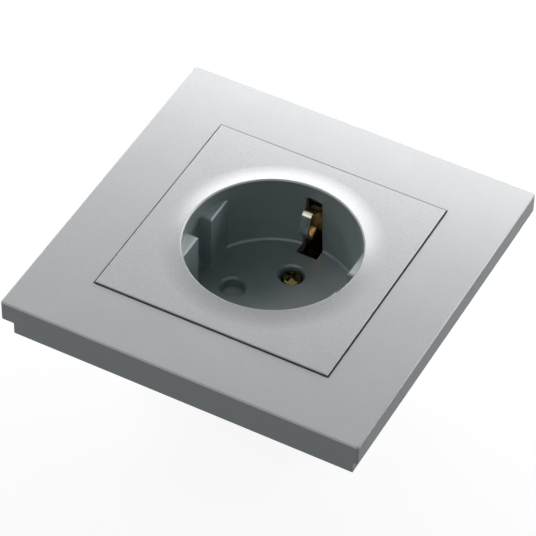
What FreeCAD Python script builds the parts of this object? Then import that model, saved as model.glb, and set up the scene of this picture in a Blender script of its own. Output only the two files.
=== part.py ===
import FreeCAD, Part
import math
import os
import Sketcher

# Type F (earthed) wall socket, flush mounted, millimetres.
# The origin is the middle of the wall plane, which is the back of the cover frame.
# +Z points out of the wall, the pin holes lie along X and the earth clips along Y.

SIZES = {
    # Cover frame
    "frame_height": 10.2,
    "frame_upper": 5.2,
    "frame_inset": 1.9,
    "frame_wall": 2.0,
    "frame_room": 2.6,
    "frame_roof": 2.2,
    "frame_corner": 0.6,
    "frame_edge": 0.3,
    "frame_rib": 1.2,
    "frame_rib_place": 17.0,
    "frame_rib_foot": 3.0,
    # Centre plate
    "plate_border": 3.25,
    "plate_gap": 0.25,
    "plate_proud": 0.35,
    "plate_thick": 2.2,
    "plate_edge": 0.15,
    "skirt_wall": 1.8,
    "ledge_reach": 2.8,
    "ledge_thick": 1.5,
    "collar_rise": 0.6,
    "collar_reach": 4.9,
    "rim_edge": 0.3,
    # Well
    "well_radius": 19.35,
    "well_depth": 17.45,
    "well_wall": 1.6,
    "well_corner": 0.4,
    "floor_thick": 2.5,
    "block_reach": 2.95,
    "block_gap": 5.8,
    "block_drop": 3.0,
    "block_edge": 0.35,
    "slot_drop": 3.05,
    "slot_top_width": 3.9,
    "slot_foot_width": 5.1,
    "notch_reach": 3.25,
    "notch_edge": 0.4,
    "cut_past": 1.0,
    # Plug pins and their holes
    "plug_pin": 4.8,
    "pin_play": 0.6,
    "pin_spacing": 19.0,
    "hole_edge": 0.4,
    # Screw in the well's floor
    "screw_offset": 9.5,
    "screw_head": 5.1,
    "screw_head_thick": 1.7,
    "screw_head_play": 0.5,
    "screw_crown": 0.75,
    "screw_crown_reach": 0.9,
    "screw_sunk": 0.35,
    "screw_thread": 3.0,
    "screw_tip": 0.4,
    "screw_past": 2.0,
    "screw_seat": 1.3,
    "screw_cup_wall": 1.0,
    "screw_play": 0.2,
    "recess_width": 0.85,
    "recess_reach": 3.0,
    "recess_depth": 1.1,
    # Shutter and the deck below it
    "shutter_gap": 0.3,
    "shutter_thick": 1.8,
    "wing_end": 0.8,
    "wing_side": 0.4,
    "wing_travel": 36.0,
    "ramp_depth": 1.2,
    "ramp_past": 1.5,
    "pivot_radius": 2.4,
    "pivot_play": 0.05,
    "stop_radius": 1.0,
    "stop_inset": 1.5,
    "deck_thick": 1.6,
    "deck_rim": 1.2,
    "deck_play": 0.2,
    "passage_play": 0.8,
    "driver_hole": 5.8,
    # Shutter spring
    "spring_wire": 0.4,
    "spring_gap": 0.7,
    "spring_play": 0.2,
    "spring_leg": 1.1,
    "spring_hole": 0.6,
    # Base
    "cup_play": 0.85,
    "base_rivet_wall": 0.85,
    "base_side_wall": 2.5,
    "base_end_wall": 1.45,
    "base_wall": 1.5,
    "base_floor": 1.5,
    "base_edge": 1.0,
    "base_shoulder": 1.2,
    "foot_step": 1.0,
    "foot_corner": 4.0,
    "chamber_play": 0.5,
    "cage_side_play": 0.3,
    # Support ring and rivets
    "ring_thick": 1.2,
    "ring_margin": 2.5,
    "ring_corner": 6.0,
    "ring_lap": 1.1,
    "ring_collar": 1.0,
    "ring_collar_rise": 2.2,
    "box_spacing": 60.0,
    "box_slot_length": 6.0,
    "box_slot_width": 3.6,
    "head_room": 9.0,
    "head_space": 2.7,
    "rivet_radius": 1.1,
    "rivet_play": 0.05,
    "rivet_head": 1.8,
    "rivet_head_top": 1.1,
    "rivet_head_thick": 0.8,
    "rivet_length": 6.0,
    "rivet_clear": 0.5,
    # Earth strap
    "strap_thick": 0.6,
    "strap_width": 6.0,
    "strap_bend": 1.0,
    "strap_play": 0.25,
    "strap_side_play": 0.4,
    "clip_width": 2.2,
    "clip_root": 3.25,
    "clip_lap": 1.0,
    "clip_drop": 1.25,
    "clip_fall": 2.95,
    "clip_bend": 0.85,
    "clip_shoulder_reach": 3.25,
    "clip_belly_reach": 4.65,
    "clip_belly_drop": 4.95,
    "clip_heel_reach": 3.15,
    "clip_heel_drop": 7.75,
    "clip_tip_reach": 0.75,
    "clip_tip_drop": 6.35,
    # Contacts
    "fork_thick": 0.7,
    "fork_width": 5.4,
    "fork_bend": 1.0,
    "fork_grip": 0.1,
    "fork_spread": 0.25,
    "fork_flare": 0.8,
    "fork_gap": 1.0,
    "fork_lead": 2.2,
    "fork_neck": 2.4,
    "fork_leg": 6.2,
    "fork_foot_room": 1.0,
    "tab_drop": 4.0,
    "tab_width": 6.5,
    "tab_past": 3.5,
    "web_drop": 5.1,
    "web_width": 2.6,
    "grip_spring_thick": 0.4,
    "grip_spring_width": 3.5,
    "grip_spring_play": 0.05,
    # Clamps
    "clamp_inset": 1.35,
    "earth_clamp_inset": 6.35,
    "cage_length": 5.0,
    "cage_wall": 1.0,
    "cage_top_wall": 1.2,
    "cage_inner": 7.0,
    "cage_height": 8.2,
    "cage_gap": 1.0,
    "cage_foot_room": 1.4,
    "clamp_thread": 3.0,
    "thread_play": 0.05,
    "clamp_head": 5.0,
    "clamp_head_thick": 1.6,
    "clamp_head_sunk": 0.1,
    "clamp_slot_width": 0.8,
    "clamp_slot_depth": 0.8,
    "window_play": 0.3,
    "window_step": 0.1,
    "window_height": 3.0,
    "earth_window_height": 2.6,
}

doc = FreeCAD.newDocument("TypeFSocket")
sheet = doc.addObject("Spreadsheet::Sheet", "Dims")
for row, (alias, size) in enumerate(SIZES.items(), start=1):
    sheet.set(f"A{row}", alias)
    sheet.set(f"B{row}", str(size))
    sheet.setAlias(f"B{row}", alias)
doc.recompute()


def value(expression):
    """The number that an expression on the sheet gives."""
    return float(sheet.evalExpression(expression))


# Levels along Z, as expressions on the sheet.
FRAME_TOP = "Dims.frame_height"
STEP = "(Dims.frame_height - Dims.frame_upper)"
FACE = "(Dims.frame_height + Dims.plate_proud)"
PLATE_UNDER = f"({FACE} - Dims.plate_thick)"
RIM = f"({FACE} + Dims.collar_rise)"
FLOOR = f"({FACE} - Dims.well_depth)"
FLOOR_UNDER = f"({FLOOR} - Dims.floor_thick)"
BLOCK_TOP = f"({FACE} - Dims.block_drop)"
SLOT_TOP = f"({FACE} - Dims.slot_drop)"
LEDGE_UNDER = "(Dims.ring_thick + Dims.head_space)"
LEDGE_TOP = f"({LEDGE_UNDER} + Dims.ledge_thick)"
SCREW_TOP = f"({FLOOR} - Dims.screw_sunk)"
SCREW_SEAT = f"({SCREW_TOP} - Dims.screw_head_thick)"
CUP_UNDER = f"({SCREW_SEAT} - Dims.screw_seat)"
SHUTTER_TOP = f"({FLOOR_UNDER} - Dims.shutter_gap)"
SHUTTER_UNDER = f"({SHUTTER_TOP} - Dims.shutter_thick)"
DECK_TOP = f"({SHUTTER_UNDER} - Dims.shutter_gap)"
DECK_UNDER = f"({DECK_TOP} - Dims.deck_thick)"
CLIP_TOP = f"({SLOT_TOP} - Dims.clip_drop)"
TAB = f"({DECK_UNDER} - Dims.tab_drop)"
STRAP_UNDER = f"({TAB} - Dims.strap_thick / 2)"
SHOULDER = f"({TAB} - Dims.base_shoulder)"
CAGE_TOP = f"({DECK_UNDER} - Dims.cage_gap)"
CAGE_FLOOR = f"({CAGE_TOP} - Dims.cage_height - Dims.cage_foot_room)"
FORK_TOP = f"({DECK_UNDER} - Dims.fork_gap)"
FORK_BOTTOM = f"({FORK_TOP} - Dims.fork_lead - Dims.fork_neck - Dims.fork_leg)"
FORK_FLOOR = f"({FORK_BOTTOM} - Dims.fork_foot_room)"
BASE_UNDER = f"({FORK_FLOOR} - Dims.base_floor)"
CLAMP_SCREW_TOP = f"({DECK_TOP} - Dims.clamp_head_sunk)"

# Widths and radii that several pieces share.
PLATE_SIDE = "(2 * (Dims.well_radius + Dims.collar_reach + Dims.plate_border))"
OPENING = f"({PLATE_SIDE} + 2 * Dims.plate_gap)"
LEDGE_OPENING = f"({PLATE_SIDE} - 2 * Dims.ledge_reach)"
RING_SIDE = "(Dims.box_spacing + Dims.box_slot_length + 2 * Dims.ring_margin)"
HOLLOW_SIDE = f"({RING_SIDE} + 2 * Dims.frame_room)"
LOWER_SIDE = f"({HOLLOW_SIDE} + 2 * Dims.frame_wall)"
FRAME_SIDE = f"({LOWER_SIDE} + 2 * Dims.frame_inset)"
INNER_WALL_SIDE = f"({OPENING} + 2 * Dims.frame_wall)"
WELL_OUTER = "(Dims.well_radius + Dims.well_wall)"
WALL_MIDDLE = "(Dims.well_radius + Dims.well_wall / 2)"
BLOCK_FLAT = "(Dims.well_radius - Dims.block_reach)"
CUP_RADIUS = f"({WELL_OUTER} + Dims.cup_play)"
DECK_RADIUS = f"({CUP_RADIUS} - Dims.deck_play)"
RING_OPENING = f"({CUP_RADIUS} + Dims.ring_lap)"
RIVET_PLACE = f"({RING_OPENING} + Dims.ring_collar + Dims.rivet_clear + Dims.rivet_head)"
RIVET_AXIS = f"({RIVET_PLACE} * cos(45))"
RIVET_HOLE = "(Dims.rivet_radius + Dims.rivet_play)"
STRAP_LEG = f"({WELL_OUTER} + Dims.strap_play + Dims.strap_thick / 2)"
LEG_OUTER = f"({STRAP_LEG} + Dims.strap_thick / 2 + Dims.strap_play)"
STRAP_CHANNEL = "(Dims.strap_width + 2 * Dims.strap_side_play)"
PIN = "(Dims.pin_spacing / 2)"
PIN_HOLE = "((Dims.plug_pin + Dims.pin_play) / 2)"
SCREW_HOLE = "((Dims.screw_head + Dims.screw_head_play) / 2)"
SCREW_SHANK_HOLE = "(Dims.screw_thread / 2 + Dims.screw_play)"
SCREW_CUP = f"({SCREW_HOLE} + Dims.screw_cup_wall)"
SHUTTER_HUB = f"(Dims.screw_offset - {SCREW_CUP} - Dims.shutter_gap)"
WING_REACH = f"({PIN} + {PIN_HOLE} + Dims.wing_end)"
WING_ANGLE = f"(asin(({PIN_HOLE} + Dims.wing_side) / {PIN}) / 1 deg)"
WING_HALF = f"({WING_REACH} * sin({WING_ANGLE}))"
STOP_REACH = f"({WING_REACH} - Dims.stop_inset)"
STOP_ANGLE = f"({WING_ANGLE} + asin((Dims.stop_radius + Dims.shutter_gap) / {STOP_REACH}) / 1 deg)"
SPRING_RADIUS = "(Dims.pivot_radius + Dims.spring_gap + Dims.spring_wire)"
CLAMP = "(Dims.well_radius - Dims.clamp_inset)"
EARTH_CLAMP = "(Dims.well_radius - Dims.earth_clamp_inset)"
TAB_END = f"({CLAMP} + Dims.tab_past)"
CLAMP_ROOM_END = f"({TAB_END} + 2 * Dims.chamber_play)"
CHAMBER_WIDTH = "(Dims.cage_inner + 2 * Dims.cage_wall + 2 * Dims.cage_side_play)"
FORK_ROOM = "(Dims.fork_width + 2 * Dims.chamber_play)"
CAGE_ROOM = "(Dims.cage_length + 2 * Dims.chamber_play)"
FORK_WAIST = "(Dims.plug_pin / 2 - Dims.fork_grip + Dims.fork_thick / 2)"
FORK_STRAIGHT = f"({FORK_WAIST} + Dims.fork_spread)"
GRIP_SPRING = f"({FORK_STRAIGHT} + (Dims.fork_thick + Dims.grip_spring_thick) / 2 + Dims.grip_spring_play)"
BASE_RADIUS = f"({RIVET_PLACE} + {RIVET_HOLE} + Dims.base_rivet_wall)"
BASE_WIDTH = f"(2 * ({CLAMP_ROOM_END} + Dims.base_side_wall))"
BASE_DEPTH = f"(2 * ({LEG_OUTER} + Dims.base_end_wall))"
FOOT_WIDTH = f"({BASE_WIDTH} - 2 * Dims.foot_step)"
FOOT_DEPTH = f"(2 * ({EARTH_CLAMP} + {CAGE_ROOM} / 2 + Dims.base_wall))"
SCREW_LENGTH = f"({SCREW_SEAT} - {STRAP_UNDER} + Dims.screw_past)"

# Turn of the slot in each clamp screw's head, in degrees.
SCREW_TURN = 35.0


def new_body(name):
    body = doc.addObject("PartDesign::Body", name)
    body.Label = name
    return body


def place(body, x="0", y="0", z="0", turn=0.0):
    """Sets where a body stands in the socket; its turn about Z is in degrees."""
    body.Placement = FreeCAD.Placement(FreeCAD.Vector(), FreeCAD.Rotation(FreeCAD.Vector(0, 0, 1), turn))
    body.setExpression(".Placement.Base.x", x)
    body.setExpression(".Placement.Base.y", y)
    body.setExpression(".Placement.Base.z", z)


def new_sketch(body, name, plane="XY_Plane", level="0"):
    """An empty sketch on one of the body's own planes, at a level along its normal."""
    sketch = body.newObject("Sketcher::SketchObject", name)
    support = next(item for item in body.Origin.OriginFeatures if item.Role == plane)
    sketch.AttachmentSupport = [(support, "")]
    sketch.MapMode = "FlatFace"
    sketch.setExpression(".AttachmentOffset.Base.z", level)
    return sketch


def bind(sketch, kind, where, expression):
    number = sketch.addConstraint(Sketcher.Constraint(kind, *where, value(expression)))
    sketch.setExpression(f"Constraints[{number}]", expression)


def add_loop(sketch, corners, arcs=None):
    """A closed outline through corners given as pairs of expressions.
    arcs maps the number of a side to its radius, and to 1 where it turns left or -1 where it turns right."""
    arcs = arcs or {}
    points = [FreeCAD.Vector(value(x), value(y), 0) for x, y in corners]
    first = sketch.GeometryCount
    ends = []
    for number, start in enumerate(points):
        end = points[(number + 1) % len(points)]
        if number in arcs:
            radius = value(arcs[number][0])
            side = arcs[number][1]
            chord = end - start
            normal = FreeCAD.Vector(-chord.y, chord.x, 0).normalize() * side
            rise = math.sqrt(max(radius**2 - (chord.Length / 2) ** 2, 0.0))
            centre = (start + end) * 0.5 + normal * rise
            top = centre - normal * radius
            sketch.addGeometry(Part.Arc(start, top, end))
            ends.append((1, 2) if side > 0 else (2, 1))
        else:
            sketch.addGeometry(Part.LineSegment(start, end))
            ends.append((1, 2))
    for number in range(len(points)):
        following = (number + 1) % len(points)
        here = (first + number, ends[number][1])
        there = (first + following, ends[following][0])
        sketch.addConstraint(Sketcher.Constraint("Coincident", *here, *there))
    for number, (x, y) in enumerate(corners):
        bind(sketch, "DistanceX", (-1, 1, first + number, ends[number][0]), x)
        bind(sketch, "DistanceY", (-1, 1, first + number, ends[number][0]), y)
    for number, (radius, side) in arcs.items():
        bind(sketch, "Radius", (first + number,), radius)


def add_rectangle(sketch, width, height, x="0", y="0"):
    left, right = f"({x}) - ({width}) / 2", f"({x}) + ({width}) / 2"
    low, high = f"({y}) - ({height}) / 2", f"({y}) + ({height}) / 2"
    add_loop(sketch, [(left, low), (right, low), (right, high), (left, high)])


def add_circle(sketch, radius, x="0", y="0"):
    centre = FreeCAD.Vector(value(x), value(y), 0)
    number = sketch.addGeometry(Part.Circle(centre, FreeCAD.Vector(0, 0, 1), value(radius)))
    bind(sketch, "DistanceX", (-1, 1, number, 3), x)
    bind(sketch, "DistanceY", (-1, 1, number, 3), y)
    bind(sketch, "Radius", (number,), radius)


def add_slot(sketch, start, end, width):
    """A slot with round ends, from the centre of one end to the centre of the other."""
    first = FreeCAD.Vector(value(start[0]), value(start[1]), 0)
    last = FreeCAD.Vector(value(end[0]), value(end[1]), 0)
    radius = value(f"({width}) / 2")
    heading = math.atan2(last.y - first.y, last.x - first.x)
    across = FreeCAD.Vector(-math.sin(heading), math.cos(heading), 0) * radius
    upward = FreeCAD.Vector(0, 0, 1)
    quarter = math.pi / 2
    first_end = Part.Circle(first, upward, radius)
    last_end = Part.Circle(last, upward, radius)
    number = sketch.addGeometry(Part.ArcOfCircle(first_end, heading + quarter, heading + 3 * quarter))
    sketch.addGeometry(Part.LineSegment(first - across, last - across))
    sketch.addGeometry(Part.ArcOfCircle(last_end, heading - quarter, heading + quarter))
    sketch.addGeometry(Part.LineSegment(last + across, first + across))
    for side in range(4):
        following = number + (side + 1) % 4
        sketch.addConstraint(Sketcher.Constraint("Tangent", number + side, 2, following, 1))
    sketch.addConstraint(Sketcher.Constraint("Equal", number, number + 2))
    for arc, (x, y) in ((number, start), (number + 2, end)):
        bind(sketch, "DistanceX", (-1, 1, arc, 3), x)
        bind(sketch, "DistanceY", (-1, 1, arc, 3), y)
    bind(sketch, "Radius", (number,), f"({width}) / 2")


def pad(body, sketch, length, middle=False):
    feature = body.newObject("PartDesign::Pad", sketch.Name + "_pad")
    feature.Profile = sketch
    feature.setExpression("Length", length)
    feature.Midplane = middle
    doc.recompute()
    return feature


def cut(body, sketch, length, along=True, middle=False):
    """A pocket, along the sketch's normal or against it."""
    feature = body.newObject("PartDesign::Pocket", sketch.Name + "_cut")
    feature.Profile = sketch
    feature.setExpression("Length", length)
    feature.Reversed = along
    feature.Midplane = middle
    doc.recompute()
    return feature


def repeat_around(body, sketch, features, count):
    """Copies features evenly round the sketch's normal."""
    pattern = body.newObject("PartDesign::PolarPattern", sketch.Name + "_around")
    pattern.Originals = features
    pattern.Axis = (sketch, ["N_Axis"])
    pattern.Angle = 360.0
    pattern.Occurrences = count
    body.Tip = pattern
    doc.recompute()
    return pattern


def revolve(body, sketch):
    feature = body.newObject("PartDesign::Revolution", sketch.Name + "_turned")
    feature.Profile = sketch
    feature.ReferenceAxis = (sketch, ["V_Axis"])
    feature.Angle = 360.0
    doc.recompute()
    return feature


def pick_edges(body, wanted):
    """Names of the edges of the body for which wanted(low corner, high corner, edge) holds."""
    names = []
    for number, edge in enumerate(body.Tip.Shape.Edges, start=1):
        box = edge.BoundBox
        low = FreeCAD.Vector(box.XMin, box.YMin, box.ZMin)
        high = FreeCAD.Vector(box.XMax, box.YMax, box.ZMax)
        if wanted(low, high, edge):
            names.append(f"Edge{number}")
    return names


def dress(body, kind, size, wanted):
    names = pick_edges(body, wanted)
    if not names:
        raise RuntimeError(f"no edge found for a {kind} on {body.Label}")
    feature = body.newObject("PartDesign::" + kind, f"{body.Name}_{kind}_{len(body.Group)}")
    feature.Base = (body.Group[-2], names)
    feature.setExpression("Radius" if kind == "Fillet" else "Size", size)
    doc.recompute()
    if feature.Shape.isNull():
        raise RuntimeError(f"{feature.Label} failed: {feature.State}")
    return feature


def near(one, other):
    return abs(one - other) < 0.01


def level_at(low, high, level):
    return near(low.z, level) and near(high.z, level)


def is_round(edge):
    return hasattr(edge.Curve, "Radius")


def has_radius(edge, radius):
    return is_round(edge) and near(edge.Curve.Radius, radius)


def reach(low, high):
    """How far an edge's box reaches along X or Y, whichever is further."""
    return max(abs(low.x), abs(high.x), abs(low.y), abs(high.y))


def at_corner(low, high, half):
    """Whether an edge stands upright in a corner of a square."""
    upright = near(low.x, high.x) and near(low.y, high.y)
    return upright and near(abs(low.x), half) and near(abs(low.y), half)


# Cover frame: a flat square frame with a stepped side, hollow from behind, that clips over the ring.
def make_cover_frame():
    body = new_body("cover_frame")
    upper = new_sketch(body, "frame_upper_layer", level=STEP)
    add_rectangle(upper, FRAME_SIDE, FRAME_SIDE)
    pad(body, upper, "Dims.frame_upper")
    lower = new_sketch(body, "frame_lower_layer")
    add_rectangle(lower, LOWER_SIDE, LOWER_SIDE)
    pad(body, lower, STEP)

    opening = new_sketch(body, "frame_opening", level=LEDGE_TOP)
    add_rectangle(opening, OPENING, OPENING)
    cut(body, opening, f"{FRAME_TOP} - {LEDGE_TOP}")
    through = new_sketch(body, "frame_ledge_opening")
    add_rectangle(through, LEDGE_OPENING, LEDGE_OPENING)
    cut(body, through, LEDGE_TOP)
    recess = new_sketch(body, "frame_under_ledge")
    add_rectangle(recess, OPENING, OPENING)
    cut(body, recess, LEDGE_UNDER)
    foot = new_sketch(body, "frame_inner_foot")
    add_rectangle(foot, INNER_WALL_SIDE, INNER_WALL_SIDE)
    cut(body, foot, "Dims.ring_thick")
    hollow = new_sketch(body, "frame_hollow")
    add_rectangle(hollow, HOLLOW_SIDE, HOLLOW_SIDE)
    add_rectangle(hollow, INNER_WALL_SIDE, INNER_WALL_SIDE)
    cut(body, hollow, f"{FRAME_TOP} - Dims.frame_roof")
    heads = new_sketch(body, "frame_screw_head_room")
    for side in ("1", "-1"):
        spot = f"{side} * Dims.box_spacing / 2"
        add_rectangle(heads, "Dims.head_room", "Dims.head_room", x=spot)
        add_rectangle(heads, "Dims.head_room", "Dims.head_room", y=spot)
    cut(body, heads, LEDGE_UNDER)

    ribs = new_sketch(body, "frame_ribs", level="Dims.frame_rib_foot")
    span = f"({HOLLOW_SIDE} - {INNER_WALL_SIDE}) / 2 + Dims.frame_wall"
    middle = f"({HOLLOW_SIDE} + {INNER_WALL_SIDE}) / 4"
    for side in ("1", "-1"):
        add_rectangle(ribs, span, "Dims.frame_rib", x=middle, y=f"{side} * Dims.frame_rib_place")
    rib_pad = pad(body, ribs, f"{FRAME_TOP} - Dims.frame_roof - Dims.frame_rib_foot")
    repeat_around(body, ribs, [rib_pad], 4)

    half = value(FRAME_SIDE) / 2
    top = value(FRAME_TOP)
    step = value(STEP)
    dress(body, "Fillet", "Dims.frame_corner", lambda low, high, edge: at_corner(low, high, half))
    dress(body, "Chamfer", "Dims.frame_edge", lambda low, high, edge: (
        (level_at(low, high, top) or level_at(low, high, step)) and near(reach(low, high), half)))
    opening_half = value(OPENING) / 2
    dress(body, "Chamfer", "Dims.plate_edge", lambda low, high, edge: (
        level_at(low, high, top) and near(reach(low, high), opening_half)))
    return body


# Centre plate: face, collar, well, guide blocks and floor are one moulding.
def make_centre_plate():
    body = new_body("centre_plate")
    section = new_sketch(body, "well_section", plane="XZ_Plane")
    outer = "(Dims.well_radius + Dims.collar_reach)"
    rise = "Dims.collar_rise"
    run = "(Dims.collar_reach - Dims.rim_edge)"
    collar_arc = f"(({run})^2 + ({rise})^2) / (2 * {rise})"
    add_loop(section, [
        ("0", FLOOR_UNDER),
        (WELL_OUTER, FLOOR_UNDER),
        (WELL_OUTER, PLATE_UNDER),
        (outer, PLATE_UNDER),
        (outer, FACE),
        ("Dims.well_radius + Dims.rim_edge", RIM),
        ("Dims.well_radius", f"{RIM} - Dims.rim_edge"),
        ("Dims.well_radius", f"{FLOOR} + Dims.well_corner"),
        ("Dims.well_radius - Dims.well_corner", FLOOR),
        ("0", FLOOR),
    ], arcs={4: (collar_arc, -1)})
    revolve(body, section)

    plate = new_sketch(body, "plate_face", level=PLATE_UNDER)
    add_rectangle(plate, PLATE_SIDE, PLATE_SIDE)
    add_circle(plate, WALL_MIDDLE)
    pad(body, plate, "Dims.plate_thick")
    skirt = new_sketch(body, "plate_skirt", level=LEDGE_TOP)
    inner = f"{PLATE_SIDE} - 2 * Dims.skirt_wall"
    add_rectangle(skirt, PLATE_SIDE, PLATE_SIDE)
    add_rectangle(skirt, inner, inner)
    pad(body, skirt, f"{PLATE_UNDER} - {LEDGE_TOP}")

    blocks = new_sketch(body, "guide_blocks", level=FLOOR)
    near_gap = "Dims.block_gap / 2"
    at_gap = f"sqrt({WALL_MIDDLE}^2 - ({near_gap})^2)"
    at_flat = f"sqrt({WALL_MIDDLE}^2 - {BLOCK_FLAT}^2)"
    for along in (1, -1):
        for across in (1, -1):
            corners = [
                (f"{along} * {BLOCK_FLAT}", f"{across} * {near_gap}"),
                (f"{along} * {at_gap}", f"{across} * {near_gap}"),
                (f"{along} * {BLOCK_FLAT}", f"{across} * {at_flat}"),
            ]
            add_loop(blocks, corners, arcs={1: (WALL_MIDDLE, along * across)})
    pad(body, blocks, f"{BLOCK_TOP} - {FLOOR}")
    cup = new_sketch(body, "screw_cup", level=CUP_UNDER)
    add_circle(cup, SCREW_CUP, y="Dims.screw_offset")
    pad(body, cup, f"{FLOOR_UNDER} - {CUP_UNDER}")

    # Each clip reaches in through a slot in the wall, which narrows upwards and is open at the floor.
    below = f"{FLOOR_UNDER} - Dims.cut_past"
    slot = new_sketch(body, "clip_slot", plane="XZ_Plane", level="Dims.cut_past - Dims.well_radius")
    add_loop(slot, [
        ("-Dims.slot_foot_width / 2", below),
        ("Dims.slot_foot_width / 2", below),
        ("Dims.slot_top_width / 2", SLOT_TOP),
        ("-Dims.slot_top_width / 2", SLOT_TOP),
    ])
    slot_cut = cut(body, slot, "Dims.well_wall + 2 * Dims.cut_past", along=False)
    notch = new_sketch(body, "clip_notch", level=below)
    notch_middle = "Dims.well_radius - Dims.notch_reach / 2"
    add_rectangle(notch, "Dims.slot_foot_width", "Dims.notch_reach", y=notch_middle)
    notch_cut = cut(body, notch, "Dims.floor_thick + Dims.cut_past + Dims.notch_edge")
    mirrored = body.newObject("PartDesign::Mirrored", "clip_slots_both")
    mirrored.Originals = [slot_cut, notch_cut]
    plane = next(item for item in body.Origin.OriginFeatures if item.Role == "XZ_Plane")
    mirrored.MirrorPlane = (plane, [""])
    body.Tip = mirrored
    doc.recompute()

    pins = new_sketch(body, "pin_holes", level=FLOOR)
    for side in ("1", "-1"):
        add_circle(pins, PIN_HOLE, x=f"{side} * {PIN}")
    cut(body, pins, "Dims.floor_thick", along=False)
    bowl = new_sketch(body, "screw_hole", level=FLOOR)
    add_circle(bowl, SCREW_HOLE, y="Dims.screw_offset")
    cut(body, bowl, f"{FLOOR} - {SCREW_SEAT}", along=False)
    shank = new_sketch(body, "screw_shank_hole", level=SCREW_SEAT)
    add_circle(shank, SCREW_SHANK_HOLE, y="Dims.screw_offset")
    cut(body, shank, "Dims.screw_seat", along=False)

    floor = value(FLOOR)
    radii = (value(PIN_HOLE), value(SCREW_HOLE))
    dress(body, "Chamfer", "Dims.hole_edge", lambda low, high, edge: (
        level_at(low, high, floor) and any(has_radius(edge, radius) for radius in radii)))
    block_top = value(BLOCK_TOP)
    dress(body, "Chamfer", "Dims.block_edge", lambda low, high, edge: (
        level_at(low, high, block_top) and not is_round(edge)))
    half = value(PLATE_SIDE) / 2
    face = value(FACE)
    dress(body, "Chamfer", "Dims.plate_edge", lambda low, high, edge: (
        level_at(low, high, face) and near(reach(low, high), half)))
    return body


def add_cross(sketch, width, span):
    """The outline of a cross recess."""
    thin, far = f"({width}) / 2", f"({span}) / 2"
    corners = [
        (far, f"-{thin}"), (far, thin), (thin, thin), (thin, far), (f"-{thin}", far), (f"-{thin}", thin),
        (f"-{far}", thin), (f"-{far}", f"-{thin}"), (f"-{thin}", f"-{thin}"), (f"-{thin}", f"-{far}"),
        (thin, f"-{far}"), (thin, f"-{thin}"),
    ]
    add_loop(sketch, corners)


# Screw that holds the centre plate down: pan head with a cross recess, its thread in the earth strap.
def make_centre_screw():
    body = new_body("centre_screw")
    section = new_sketch(body, "centre_screw_section", plane="XZ_Plane")
    head = "Dims.screw_head / 2"
    thread = "Dims.screw_thread / 2"
    end = f"-Dims.screw_head_thick - {SCREW_LENGTH}"
    add_loop(section, [
        ("0", end),
        (f"{thread} - Dims.screw_tip", end),
        (thread, f"{end} + Dims.screw_tip"),
        (thread, "-Dims.screw_head_thick"),
        (head, "-Dims.screw_head_thick"),
        (head, "-Dims.screw_crown"),
        (f"{head} - Dims.screw_crown_reach", "0"),
        ("0", "0"),
    ])
    revolve(body, section)
    recess = new_sketch(body, "centre_screw_recess")
    add_cross(recess, "Dims.recess_width", "Dims.recess_reach")
    cut(body, recess, "Dims.recess_depth", along=False)
    place(body, y="Dims.screw_offset", z=SCREW_TOP)
    return body


def radial(radius, angle):
    """A corner at a radius and an angle in degrees, both expressions."""
    return (f"({radius}) * cos({angle})", f"({radius}) * sin({angle})")


# Shutter: a rotor whose two wings close the pin holes. A pin on a wing's slope turns both aside.
def make_shutter():
    body = new_body("shutter")
    hub = new_sketch(body, "shutter_hub", level=SHUTTER_UNDER)
    add_circle(hub, SHUTTER_HUB)
    pad(body, hub, "Dims.shutter_thick")
    wings = new_sketch(body, "shutter_wings", level=SHUTTER_UNDER)
    inner = f"{SHUTTER_HUB} - Dims.cut_past"
    for start in ("0", "180"):
        low, high = f"{start} - {WING_ANGLE}", f"{start} + {WING_ANGLE}"
        corners = [radial(inner, low), radial(WING_REACH, low), radial(WING_REACH, high), radial(inner, high)]
        add_loop(wings, corners, arcs={1: (WING_REACH, 1)})
    pad(body, wings, "Dims.shutter_thick")
    slope = new_sketch(body, "shutter_slope", plane="YZ_Plane", level=SHUTTER_HUB)
    low_side = f"({WING_HALF} + Dims.cut_past)"
    add_loop(slope, [
        ("-Dims.ramp_past", SHUTTER_TOP),
        (low_side, f"{SHUTTER_TOP} - Dims.ramp_depth"),
        (low_side, SHUTTER_TOP),
    ])
    slope_cut = cut(body, slope, f"{WING_REACH} - {SHUTTER_HUB} + Dims.cut_past")
    repeat_around(body, hub, [slope_cut], 2)
    bore = new_sketch(body, "shutter_bore", level=SHUTTER_UNDER)
    add_circle(bore, "Dims.pivot_radius + Dims.pivot_play")
    cut(body, bore, "Dims.shutter_thick")
    pocket = new_sketch(body, "shutter_spring_pocket", level=SHUTTER_UNDER)
    add_circle(pocket, f"{SPRING_RADIUS} + Dims.spring_wire / 2 + Dims.spring_play")
    cut(body, pocket, "Dims.spring_wire - Dims.shutter_gap + Dims.spring_play")
    leg = new_sketch(body, "shutter_leg_hole", level=SHUTTER_UNDER)
    add_rectangle(leg, "Dims.spring_hole", "Dims.spring_hole", x=f"-{SPRING_RADIUS}")
    cut(body, leg, "Dims.shutter_thick")
    return body


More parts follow.
